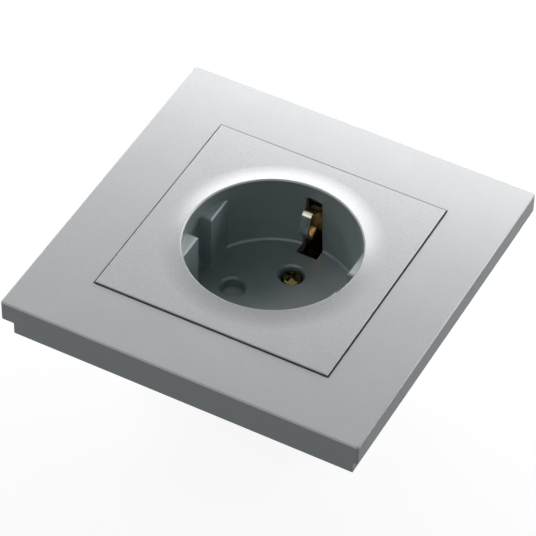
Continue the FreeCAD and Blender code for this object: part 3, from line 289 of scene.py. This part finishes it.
def makeMoulding(facts):
    material, tree = newMaterial(facts["name"])
    place = addNode(tree, "ShaderNodeTexCoord").outputs["Object"]
    colour, rough, grain = mottledSurface(tree, place, place, {**mouldSkin, **facts})[:3]
    edges = addNode(tree, "ShaderNodeBevel", {"samples": bevelSamples}, {
        "Radius": mouldSkin["edge"]})
    closeMaterial(
        tree, {"Height": grain, "Distance": mouldSkin["grainHeight"], "Normal": edges.outputs[0]},
        {"Base Color": colour, "Roughness": rough})
    return material


# Metals: rolled strip and sheet show fine lines along the rolling, which come from noise squeezed
# along one axis, and turned screws are even. Each colour goes from clean to tarnished in soft
# stains about 2 mm wide.
metals = {
    "brass": {
        "name": "rolledBrassStrip", "pale": "#D9B86E", "deep": "#B9924A", "roughness": 0.3,
        "squeeze": (1, 1, 10)},
    "zinc": {
        "name": "zincPlatedSteelSheet", "pale": "#CCD0D2", "deep": "#B1B7BB", "roughness": 0.34,
        "squeeze": (12, 1, 1)},
    "steel": {
        "name": "springSteelStrip", "pale": "#B4B6B8", "deep": "#8F9193", "roughness": 0.28,
        "squeeze": (1, 1, 10)},
    "yellow": {
        "name": "yellowPassivatedZincSteel", "pale": "#746A42", "deep": "#35351F",
        "roughness": 0.16, "squeeze": (1, 1, 1)},
}
metalSkin = {
    "mottleLow": 0.35, "mottleHigh": 0.65, "grainSize": 1.2 * mm, "grainDetail": 3.0,
    "patchSize": 2.2 * mm, "patchShare": 0.7, "roughSpread": 0.04,
    "lineHeight": 0.0008 * mm, "edge": 0.12 * mm,
}


def makeMetal(facts):
    material, tree = newMaterial(facts["name"])
    place = addNode(tree, "ShaderNodeTexCoord").outputs["Object"]
    squeezed = addNode(tree, "ShaderNodeVectorMath", {"operation": "MULTIPLY"}, {
        0: place, 1: facts["squeeze"]})
    colour, rough, lines = mottledSurface(
        tree, squeezed.outputs[0], place, {**metalSkin, **facts})[:3]
    edges = addNode(tree, "ShaderNodeBevel", {"samples": bevelSamples}, {
        "Radius": metalSkin["edge"]})
    closeMaterial(
        tree, {"Height": lines, "Distance": metalSkin["lineHeight"], "Normal": edges.outputs[0]},
        {"Base Color": colour, "Roughness": rough, "Metallic": 1.0})
    return material


# Earth strap: brass strip, nickel plated on the face of each finger that rubs on the plug, which is
# what faces the middle of the well and lies within plateEnd of it. The rest of the strip and its
# cut edges have tarnished to golden brown, in stains without lines.
strapFinish = {
    "pale": "#D9AE68", "deep": "#6B4A22", "patchShare": 1.0, "roughness": 0.24,
    "squeeze": (10, 1, 1), "nickel": "#C9C8C4", "wornNickel": "#A9A6A0",
    "plateEnd": 16.6 * mm, "plateFull": 16.3 * mm, "faceNone": 0.05, "faceFull": 0.35,
}


def makeStrapMaterial(facts):
    material, tree = newMaterial("nickelPlatedBrassStrip")
    place = addNode(tree, "ShaderNodeTexCoord").outputs["Object"]
    squeezed = addNode(tree, "ShaderNodeVectorMath", {"operation": "MULTIPLY"}, {
        0: place, 1: facts["squeeze"]})
    brown, rough, lines, mottling = mottledSurface(
        tree, squeezed.outputs[0], place, {**metalSkin, **facts})
    plated = addNode(tree, "ShaderNodeMix", {"data_type": "RGBA"}, {
        0: mottling, 6: srgb(facts["wornNickel"]), 7: srgb(facts["nickel"])})
    toMiddle = addNode(tree, "ShaderNodeVectorMath", {"operation": "MULTIPLY"}, {
        0: place, 1: (0, -1, 0)})
    inward = addNode(tree, "ShaderNodeVectorMath", {"operation": "NORMALIZE"}, {
        0: toMiddle.outputs[0]})
    normal = addNode(tree, "ShaderNodeNewGeometry").outputs["Normal"]
    facing = addNode(tree, "ShaderNodeVectorMath", {"operation": "DOT_PRODUCT"}, {
        0: inward.outputs[0], 1: normal})
    side = addNode(tree, "ShaderNodeMapRange", {}, {
        0: facing.outputs["Value"], 1: facts["faceNone"], 2: facts["faceFull"]})
    away = addNode(tree, "ShaderNodeVectorMath", {"operation": "LENGTH"}, {0: toMiddle.outputs[0]})
    front = addNode(tree, "ShaderNodeMapRange", {}, {
        0: away.outputs["Value"], 1: facts["plateEnd"], 2: facts["plateFull"]})
    nickelled = addNode(tree, "ShaderNodeMath", {"operation": "MULTIPLY"}, {
        0: side.outputs[0], 1: front.outputs[0]})
    colour = addNode(tree, "ShaderNodeMix", {"data_type": "RGBA"}, {
        0: nickelled.outputs[0], 6: brown, 7: plated.outputs[2]})
    closeMaterial(
        tree, {"Height": lines, "Distance": metalSkin["lineHeight"]},
        {"Base Color": colour.outputs[2], "Roughness": rough, "Metallic": 1.0})
    return material


def dressNode(name, material):
    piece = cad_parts[name]
    piece.data.materials.clear()
    piece.data.materials.append(material)


dressNode("cover_frame", makeLacqueredAbs())
dressNode("centre_plate", makePlateMaterial())
for nodeName, facts in mouldings.items():
    dressNode(nodeName, makeMoulding(facts))
metalOf = {name: makeMetal(facts) for name, facts in metals.items()}
dressNode("earth_strap", makeStrapMaterial(strapFinish))
dressNode("support_ring", metalOf["zinc"])
for side in ("right", "left"):
    dressNode(f"contact_{side}", metalOf["brass"])
    dressNode(f"contact_spring_{side}", metalOf["steel"])
for side in ("right", "left", "earth"):
    dressNode(f"clamp_cage_{side}", metalOf["zinc"])
print("materials assigned")


# A new, empty geometry tree, with the host mesh and one named input for each value in sizes.
def newTree(name, sizes):
    tree = bpy.data.node_groups.new(name, "GeometryNodeTree")
    tree.interface.new_socket("Geometry", in_out="INPUT", socket_type="NodeSocketGeometry")
    for label, size in sizes.items():
        kind = "NodeSocketInt" if isinstance(size, int) else "NodeSocketFloat"
        tree.interface.new_socket(label, in_out="INPUT", socket_type=kind)
    tree.interface.new_socket("Material", in_out="INPUT", socket_type="NodeSocketMaterial")
    tree.interface.new_socket("Geometry", in_out="OUTPUT", socket_type="NodeSocketGeometry")
    return tree, tree.nodes.new("NodeGroupInput").outputs


# The last nodes of a tree: real geometry, its material and the output.
def closeTree(tree, geometry, material):
    solid = addNode(tree, "GeometryNodeRealizeInstances", {}, {0: geometry})
    dressed = addNode(tree, "GeometryNodeSetMaterial", {}, {
        0: solid.outputs[0], "Material": material})
    addNode(tree, "NodeGroupOutput", {}, {0: dressed.outputs[0]})


# Moves a part of a screw or rivet along its axis to a height, and first scales it if asked.
def setAtHeight(tree, geometry, height, scale=(1, 1, 1)):
    place = addNode(tree, "ShaderNodeCombineXYZ", {}, {2: height})
    return addNode(tree, "GeometryNodeTransform", {}, {
        0: geometry, "Translation": place.outputs[0], "Scale": scale}).outputs[0]


# Joins parts and puts a copy of them on each host point, turned round its axis if it has a turn.
def copyToPoints(tree, given, parts):
    whole = addNode(tree, "GeometryNodeJoinGeometry")
    for part in parts:
        tree.links.new(part, whole.inputs[0])
    turn = addNode(tree, "GeometryNodeInputNamedAttribute", {}, {"Name": "turn"})
    spin = addNode(tree, "ShaderNodeCombineXYZ", {}, {2: turn.outputs[0]})
    points = addNode(tree, "GeometryNodeMeshToPoints", {}, {0: given["Geometry"]})
    return addNode(tree, "GeometryNodeInstanceOnPoints", {}, {
        "Points": points.outputs[0], "Instance": whole.outputs[0],
        "Rotation": spin.outputs[0]}).outputs[0]


sharpAngle = math.radians(35)


# Runs a tree on a host mesh and returns the result as a plain mesh piece. Turns, one for each host
# point, are angles in degrees.
def growPiece(name, tree, points, edges, sizes, material, turns=()):
    host = bpy.data.meshes.new(name + "Host")
    host.from_pydata(points, edges, [])
    if turns:
        spins = host.attributes.new("turn", "FLOAT", "POINT")
        spins.data.foreach_set("value", [math.radians(turn) for turn in turns])
    maker = bpy.data.objects.new(name + "Host", host)
    scene.collection.objects.link(maker)
    modifier = maker.modifiers.new("shape", "NODES")
    modifier.node_group = tree
    for item in tree.interface.items_tree:
        if item.in_out == "INPUT" and item.name in sizes:
            modifier[item.identifier] = sizes[item.name]
        elif item.name == "Material":
            modifier[item.identifier] = material
    evaluated = maker.evaluated_get(bpy.context.evaluated_depsgraph_get())
    mesh = bpy.data.meshes.new_from_object(evaluated)
    maker.modifiers.remove(modifier)
    bpy.data.objects.remove(maker)
    mesh.name = name
    mesh.set_sharp_from_angle(angle=sharpAngle)
    piece = bpy.data.objects.new(name, mesh)
    scene.collection.objects.link(piece)
    return piece


# The middle of a node's top, where a screw or rivet hangs from.
def headTop(name):
    low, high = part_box(name)
    return ((low.x + high.x) / 2, (low.y + high.y) / 2, high.z)


# Sides and rings of the round parts of screws and rivets.
roundParts = {"headSides": 48, "headRings": 24, "shankSides": 32}
# Machine screws: a head with a cross recess or a slot, over a rolled thread. Each host point is the
# middle of one head's top, and its turn is the angle of the recess.
centreScrew = {
    "Head Radius": 2.4 * mm, "Head Height": 1.7 * mm, "Crown Height": 0.95 * mm,
    "Thread Radius": 1.5 * mm, "Thread Depth": 0.3 * mm, "Pitch": 0.5 * mm, "Length": 12.4 * mm,
    "Recess Width": 0.85 * mm, "Recess Reach": 1.7 * mm, "Recess Depth": 1.1 * mm, "Arms": 2,
}
clampScrews = {
    "Head Radius": 2.45 * mm, "Head Height": 1.6 * mm, "Crown Height": 0.3 * mm,
    "Thread Radius": 1.5 * mm, "Thread Depth": 0.3 * mm, "Pitch": 0.5 * mm, "Length": 5.1 * mm,
    "Recess Width": 0.8 * mm, "Recess Reach": 2.6 * mm, "Recess Depth": 0.8 * mm, "Arms": 1,
}
# The crown is a hair slimmer than the rim below it, and the second arm of a cross a little
# shallower than the first, so that no two faces lie in one plane where they are joined or cut.
# The ridge of the thread has three sides and starts just above the shank's foot.
screwMake = {
    "crownShare": 0.99, "armStep": -0.04, "weld": 0.002 * mm, "ridgeSides": 3,
    "ridgeShare": 2 / 3, "ridgeFoot": 0.4,
}


# The head, with its top at zero: a flattened ball on a short cylinder, cut by the arms of the cross
# or slot.
def screwHead(tree, given):
    band = addNode(tree, "ShaderNodeMath", {"operation": "SUBTRACT"}, {
        0: given["Head Height"], 1: given["Crown Height"]})
    ball = addNode(tree, "GeometryNodeMeshUVSphere", {}, {
        "Segments": roundParts["headSides"], "Rings": roundParts["headRings"]})
    crownRadius = addNode(tree, "ShaderNodeMath", {"operation": "MULTIPLY"}, {
        0: given["Head Radius"], 1: screwMake["crownShare"]})
    crownSize = addNode(tree, "ShaderNodeCombineXYZ", {}, {
        0: crownRadius.outputs[0], 1: crownRadius.outputs[0], 2: given["Crown Height"]})
    crownDrop = addNode(tree, "ShaderNodeMath", {"operation": "MULTIPLY"}, {
        0: given["Crown Height"], 1: -1.0})
    rim = addNode(tree, "GeometryNodeMeshCylinder", {}, {
        "Vertices": roundParts["headSides"], "Radius": given["Head Radius"],
        "Depth": band.outputs[0]})
    rimDrop = addNode(tree, "ShaderNodeMath", {"operation": "MULTIPLY_ADD"}, {
        0: band.outputs[0], 1: -0.5, 2: crownDrop.outputs[0]})
    head = addNode(tree, "GeometryNodeMeshBoolean", {"operation": "UNION", "solver": "EXACT"})
    crown = setAtHeight(tree, ball.outputs[0], crownDrop.outputs[0], crownSize.outputs[0])
    for part in (crown, setAtHeight(tree, rim.outputs[0], rimDrop.outputs[0])):
        tree.links.new(part, head.inputs["Mesh 2"])

    # Half of each arm stands above the head, so an arm is twice the recess deep.
    reach = addNode(tree, "ShaderNodeMath", {"operation": "MULTIPLY"}, {
        0: given["Recess Reach"], 1: 2.0})
    depth = addNode(tree, "ShaderNodeMath", {"operation": "MULTIPLY"}, {
        0: given["Recess Depth"], 1: 2.0})
    armSize = addNode(tree, "ShaderNodeCombineXYZ", {}, {
        0: reach.outputs[0], 1: given["Recess Width"], 2: depth.outputs[0]})
    arm = addNode(tree, "GeometryNodeMeshCube", {}, {"Size": armSize.outputs[0]})
    hub = addNode(tree, "GeometryNodeMeshLine", {}, {"Count": given["Arms"], "Offset": (0, 0, 0)})
    index = addNode(tree, "GeometryNodeInputIndex")
    quarter = addNode(tree, "ShaderNodeMath", {"operation": "MULTIPLY"}, {
        0: index.outputs[0], 1: math.radians(90)})
    armTurn = addNode(tree, "ShaderNodeCombineXYZ", {}, {2: quarter.outputs[0]})
    armDepth = addNode(tree, "ShaderNodeMath", {"operation": "MULTIPLY_ADD"}, {
        0: index.outputs[0], 1: screwMake["armStep"], 2: 1.0})
    armScale = addNode(tree, "ShaderNodeCombineXYZ", {}, {0: 1.0, 1: 1.0, 2: armDepth.outputs[0]})
    arms = addNode(tree, "GeometryNodeInstanceOnPoints", {}, {
        "Points": hub.outputs[0], "Instance": arm.outputs[0], "Rotation": armTurn.outputs[0],
        "Scale": armScale.outputs[0]})
    recess = addNode(tree, "GeometryNodeRealizeInstances", {}, {0: arms.outputs[0]})
    cut = addNode(tree, "GeometryNodeMeshBoolean", {
        "operation": "DIFFERENCE", "solver": "EXACT"}, {
        "Mesh 1": head.outputs[0], "Self Intersection": True})
    tree.links.new(recess.outputs[0], cut.inputs["Mesh 2"])
    return addNode(tree, "GeometryNodeMergeByDistance", {}, {
        0: cut.outputs[0], "Distance": screwMake["weld"]}).outputs[0]


# The core of the shank and the ridge that winds up it.
def screwShank(tree, given):
    length = addNode(tree, "ShaderNodeMath", {"operation": "SUBTRACT"}, {
        0: given["Length"], 1: given["Head Height"]})
    root = addNode(tree, "ShaderNodeMath", {"operation": "SUBTRACT"}, {
        0: given["Thread Radius"], 1: given["Thread Depth"]})
    core = addNode(tree, "GeometryNodeMeshCylinder", {}, {
        "Vertices": roundParts["shankSides"], "Radius": root.outputs[0],
        "Depth": length.outputs[0]})
    half = addNode(tree, "ShaderNodeMath", {"operation": "MULTIPLY"}, {
        0: length.outputs[0], 1: -0.5})
    coreDrop = addNode(tree, "ShaderNodeMath", {"operation": "SUBTRACT"}, {
        0: half.outputs[0], 1: given["Head Height"]})
    rise = addNode(tree, "ShaderNodeMath", {"operation": "SUBTRACT"}, {
        0: length.outputs[0], 1: given["Pitch"]})
    rounds = addNode(tree, "ShaderNodeMath", {"operation": "DIVIDE"}, {
        0: rise.outputs[0], 1: given["Pitch"]})
    crest = addNode(tree, "ShaderNodeMath", {"operation": "MULTIPLY"}, {
        0: given["Thread Depth"], 1: screwMake["ridgeShare"]})
    ridgeRadius = addNode(tree, "ShaderNodeMath", {"operation": "SUBTRACT"}, {
        0: given["Thread Radius"], 1: crest.outputs[0]})
    helix = addNode(tree, "GeometryNodeCurveSpiral", {}, {
        "Resolution": roundParts["shankSides"], "Rotations": rounds.outputs[0],
        "Start Radius": ridgeRadius.outputs[0], "End Radius": ridgeRadius.outputs[0],
        "Height": rise.outputs[0]})
    upright = addNode(tree, "GeometryNodeSetCurveNormal", {"mode": "Z_UP"}, {0: helix.outputs[0]})
    section = addNode(tree, "GeometryNodeCurvePrimitiveCircle", {}, {
        "Resolution": screwMake["ridgeSides"], "Radius": crest.outputs[0]})
    ridge = addNode(tree, "GeometryNodeCurveToMesh", {}, {
        "Curve": upright.outputs[0], "Profile Curve": section.outputs[0], "Fill Caps": True})
    foot = addNode(tree, "ShaderNodeMath", {"operation": "MULTIPLY"}, {
        0: given["Pitch"], 1: screwMake["ridgeFoot"]})
    ridgeDrop = addNode(tree, "ShaderNodeMath", {"operation": "SUBTRACT"}, {
        0: foot.outputs[0], 1: given["Length"]})
    return (setAtHeight(tree, core.outputs[0], coreDrop.outputs[0]),
            setAtHeight(tree, ridge.outputs[0], ridgeDrop.outputs[0]))


def makeScrewTree():
    tree, given = newTree("machineScrew", centreScrew)
    parts = (screwHead(tree, given), *screwShank(tree, given))
    closeTree(tree, copyToPoints(tree, given, parts), given["Material"])
    return tree


screwTree = makeScrewTree()
centreScrewPiece = growPiece(
    "centreScrew", screwTree, [headTop("centre_screw")], [], centreScrew, metalOf["yellow"], [73])
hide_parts("centre_screw")
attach(centreScrewPiece, "insert")
clampNames = ["clamp_screw_right", "clamp_screw_left", "clamp_screw_earth"]
clampScrewPiece = growPiece(
    "clampScrews", screwTree, [headTop(name) for name in clampNames], [], clampScrews,
    metalOf["yellow"], [35, 215, 305])
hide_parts(*clampNames)
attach(clampScrewPiece, "insert")
print("screws turned and threaded")


# Rivets: a domed head on a plain shank. Each host point is the top of one head.
rivets = {
    "Head Radius": 1.8 * mm, "Head Height": 0.8 * mm, "Shank Radius": 1.1 * mm, "Length": 6.8 * mm,
}


# The dome is the upper half of a flattened ball: a block four head radii wide cuts the rest away.
def makeRivetTree():
    tree, given = newTree("domedRivet", rivets)
    ball = addNode(tree, "GeometryNodeMeshUVSphere", {}, {
        "Segments": roundParts["headSides"], "Rings": roundParts["headRings"]})
    ballSize = addNode(tree, "ShaderNodeCombineXYZ", {}, {
        0: given["Head Radius"], 1: given["Head Radius"], 2: given["Head Height"]})
    blockSide = addNode(tree, "ShaderNodeMath", {"operation": "MULTIPLY"}, {
        0: given["Head Radius"], 1: 4.0})
    blockSize = addNode(tree, "ShaderNodeCombineXYZ", {}, {
        0: blockSide.outputs[0], 1: blockSide.outputs[0], 2: blockSide.outputs[0]})
    block = addNode(tree, "GeometryNodeMeshCube", {}, {"Size": blockSize.outputs[0]})
    blockDrop = addNode(tree, "ShaderNodeMath", {"operation": "MULTIPLY"}, {
        0: blockSide.outputs[0], 1: -0.5})
    dome = addNode(tree, "GeometryNodeMeshBoolean", {
        "operation": "DIFFERENCE", "solver": "EXACT"}, {
        "Mesh 1": setAtHeight(tree, ball.outputs[0], 0.0, ballSize.outputs[0])})
    tree.links.new(setAtHeight(tree, block.outputs[0], blockDrop.outputs[0]), dome.inputs["Mesh 2"])
    domeDrop = addNode(tree, "ShaderNodeMath", {"operation": "MULTIPLY"}, {
        0: given["Head Height"], 1: -1.0})
    shank = addNode(tree, "GeometryNodeMeshCylinder", {}, {
        "Vertices": roundParts["shankSides"], "Radius": given["Shank Radius"],
        "Depth": given["Length"]})
    shankDrop = addNode(tree, "ShaderNodeMath", {"operation": "MULTIPLY"}, {
        0: given["Length"], 1: -0.5})
    parts = (setAtHeight(tree, dome.outputs[0], domeDrop.outputs[0]),
             setAtHeight(tree, shank.outputs[0], shankDrop.outputs[0]))
    closeTree(tree, copyToPoints(tree, given, parts), given["Material"])
    return tree


rivetNames = ["ring_rivet_1", "ring_rivet_2"]
rivetPiece = growPiece(
    "ringRivets", makeRivetTree(), [headTop(name) for name in rivetNames], [], rivets,
    metalOf["zinc"])
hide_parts(*rivetNames)
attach(rivetPiece, "insert")
print("rivets set")


# Return spring of the shutter: three quarters of a coil of round wire. One leg stands in the deck
# and the other in the shutter, so the coil closes a little as the shutter turns.
returnSpring = {"Wire Radius": 0.2 * mm}
springBend = {
    "coil": math.radians(270), "coilSteps": 54, "corner": math.radians(90), "cornerSteps": 4,
    "cornerRadius": 0.3 * mm, "wireSides": 12,
}


# The wire's middle line: up the first leg, round a corner, the coil, a corner and the second leg.
def springPoints(low, high, wire, bend):
    coil, level, small = high.x - wire, (low.z + high.z) / 2, bend["cornerRadius"]
    corner = [bend["corner"] * step / bend["cornerSteps"]
              for step in range(bend["cornerSteps"] + 1)]
    trim = small / coil
    sweep = bend["coil"] - 2 * trim
    turns = [trim - bend["corner"] + sweep * step / bend["coilSteps"]
             for step in range(1, bend["coilSteps"])]
    points = [(0, -coil, low.z)]
    points += [(small - small * math.cos(turn), -coil, level - small + small * math.sin(turn))
               for turn in corner]
    points += [(coil * math.cos(turn), coil * math.sin(turn), level) for turn in turns]
    points += [(-coil, small - small * math.sin(turn), level + small - small * math.cos(turn))
               for turn in corner]
    return points + [(-coil, 0, high.z)]


def makeSpringTree():
    tree, given = newTree("roundWire", returnSpring)
    line = addNode(tree, "GeometryNodeMeshToCurve", {}, {0: given["Geometry"]})
    section = addNode(tree, "GeometryNodeCurvePrimitiveCircle", {}, {
        "Resolution": springBend["wireSides"], "Radius": given["Wire Radius"]})
    wire = addNode(tree, "GeometryNodeCurveToMesh", {}, {
        "Curve": line.outputs[0], "Profile Curve": section.outputs[0], "Fill Caps": True})
    closeTree(tree, wire.outputs[0], given["Material"])
    return tree


springLow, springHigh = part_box("shutter_spring")
springLine = springPoints(springLow, springHigh, returnSpring["Wire Radius"], springBend)
springEdges = [(index, index + 1) for index in range(len(springLine) - 1)]
springPiece = growPiece(
    "returnSpring", makeSpringTree(), springLine, springEdges, returnSpring, metalOf["steel"])
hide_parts("shutter_spring")
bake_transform(springPiece)
print("return spring wound")


# Camera: 720 mm away, a long lens, turned 27 degrees to the pin axis and looking 46 degrees down.
camera = {
    "place": (229.38 * mm, -445.54 * mm, 515.42 * mm), "right": (0.88066, 0.47348, 0.01576),
    "up": (-0.34811, 0.62418, 0.69944), "lens": 225.2, "sensor": 36.0,
}


def makeCamera(facts):
    data = bpy.data.cameras.new("camera")
    data.lens = facts["lens"]
    data.sensor_width = facts["sensor"]
    piece = bpy.data.objects.new("camera", data)
    scene.collection.objects.link(piece)
    right, up = Vector(facts["right"]).normalized(), Vector(facts["up"]).normalized()
    back = right.cross(up).normalized()
    turned = Matrix((right, up, back)).transposed().to_4x4()
    piece.matrix_world = Matrix.Translation(Vector(facts["place"])) @ turned
    scene.camera = piece


# Studio: a wide soft light low behind the object, a weak one at its left and one in front, all
# aimed at it, and a pale surround. Places and sizes are in millimetres.
lamps = {
    "lowBackLight": {"place": (0, 180, 90), "size": (560, 120), "watts": 0.86},
    "leftFill": {"place": (-340, -20, 240), "size": (160, 160), "watts": 0.4},
    "frontFill": {"place": (-80, -420, 300), "size": (400, 300), "watts": 0.27},
}
# The surround is plain and pale where it is seen, and lights the object only weakly.
surround = {"colour": "#F7F9FA", "lighting": 0.06, "seen": 1.0}


def makeLamp(name, facts):
    data = bpy.data.lights.new(name, "AREA")
    data.shape = "RECTANGLE"
    data.size, data.size_y = (length * mm for length in facts["size"])
    data.energy = facts["watts"]
    piece = bpy.data.objects.new(name, data)
    scene.collection.objects.link(piece)
    place = Vector(facts["place"]) * mm
    piece.location = place
    piece.rotation_mode = "QUATERNION"
    piece.rotation_quaternion = (-place).to_track_quat("-Z", "Y")


# One for rays that see the background: straight from the camera, in gloss and through glass.
def seenDirectly(tree):
    path = addNode(tree, "ShaderNodeLightPath")
    gloss = addNode(tree, "ShaderNodeMath", {"operation": "MAXIMUM"}, {
        0: path.outputs["Is Camera Ray"], 1: path.outputs["Is Glossy Ray"]})
    glass = addNode(tree, "ShaderNodeMath", {"operation": "MAXIMUM"}, {
        0: gloss.outputs[0], 1: path.outputs["Is Transmission Ray"]})
    return glass.outputs[0]


def makeSurround(facts):
    world = bpy.data.worlds.new("surround")
    world.use_nodes = True
    tree = world.node_tree
    tree.nodes.clear()
    strength = addNode(tree, "ShaderNodeMapRange", {}, {
        0: seenDirectly(tree), 3: facts["lighting"], 4: facts["seen"]})
    glow = addNode(tree, "ShaderNodeBackground", {}, {
        "Color": srgb(facts["colour"]), "Strength": strength.outputs[0]})
    addNode(tree, "ShaderNodeOutputWorld", {}, {"Surface": glow.outputs[0]})
    scene.world = world


# Floor: a pale table top just under the foot of the insert. Where it is seen it glows almost white,
# with a little diffuse grey that keeps a faint shadow.
floor = {
    "halfSize": 1600 * mm, "gap": 0.05 * mm, "colour": "#F2F2F2", "glow": 0.9,
    "faint": (0.16, 0.16, 0.16, 1.0),
}


def makeFloor(facts, level):
    half = facts["halfSize"]
    outline = ((-half, -half), (half, -half), (half, half), (-half, half))
    corners = [(x, y, level) for x, y in outline]
    mesh = bpy.data.meshes.new("floor")
    mesh.from_pydata(corners, [], [(0, 1, 2, 3)])
    piece = bpy.data.objects.new("floor", mesh)
    scene.collection.objects.link(piece)
    material, tree = newMaterial("paleTable")
    plain = addNode(tree, "ShaderNodeBsdfDiffuse", {}, {"Color": srgb(facts["colour"])})
    faint = addNode(tree, "ShaderNodeBsdfDiffuse", {}, {"Color": facts["faint"]})
    glow = addNode(tree, "ShaderNodeEmission", {}, {"Strength": facts["glow"]})
    seen = addNode(tree, "ShaderNodeAddShader", {}, {0: faint.outputs[0], 1: glow.outputs[0]})
    both = addNode(tree, "ShaderNodeMixShader", {}, {
        0: seenDirectly(tree), 1: plain.outputs[0], 2: seen.outputs[0]})
    addNode(tree, "ShaderNodeOutputMaterial", {}, {"Surface": both.outputs[0]})
    piece.data.materials.append(material)


makeCamera(camera)
for lampName, facts in lamps.items():
    makeLamp(lampName, facts)
makeSurround(surround)
makeFloor(floor, cadLow.z - floor["gap"])
scene.view_settings.view_transform = "Standard"
print("camera, light and floor in place")
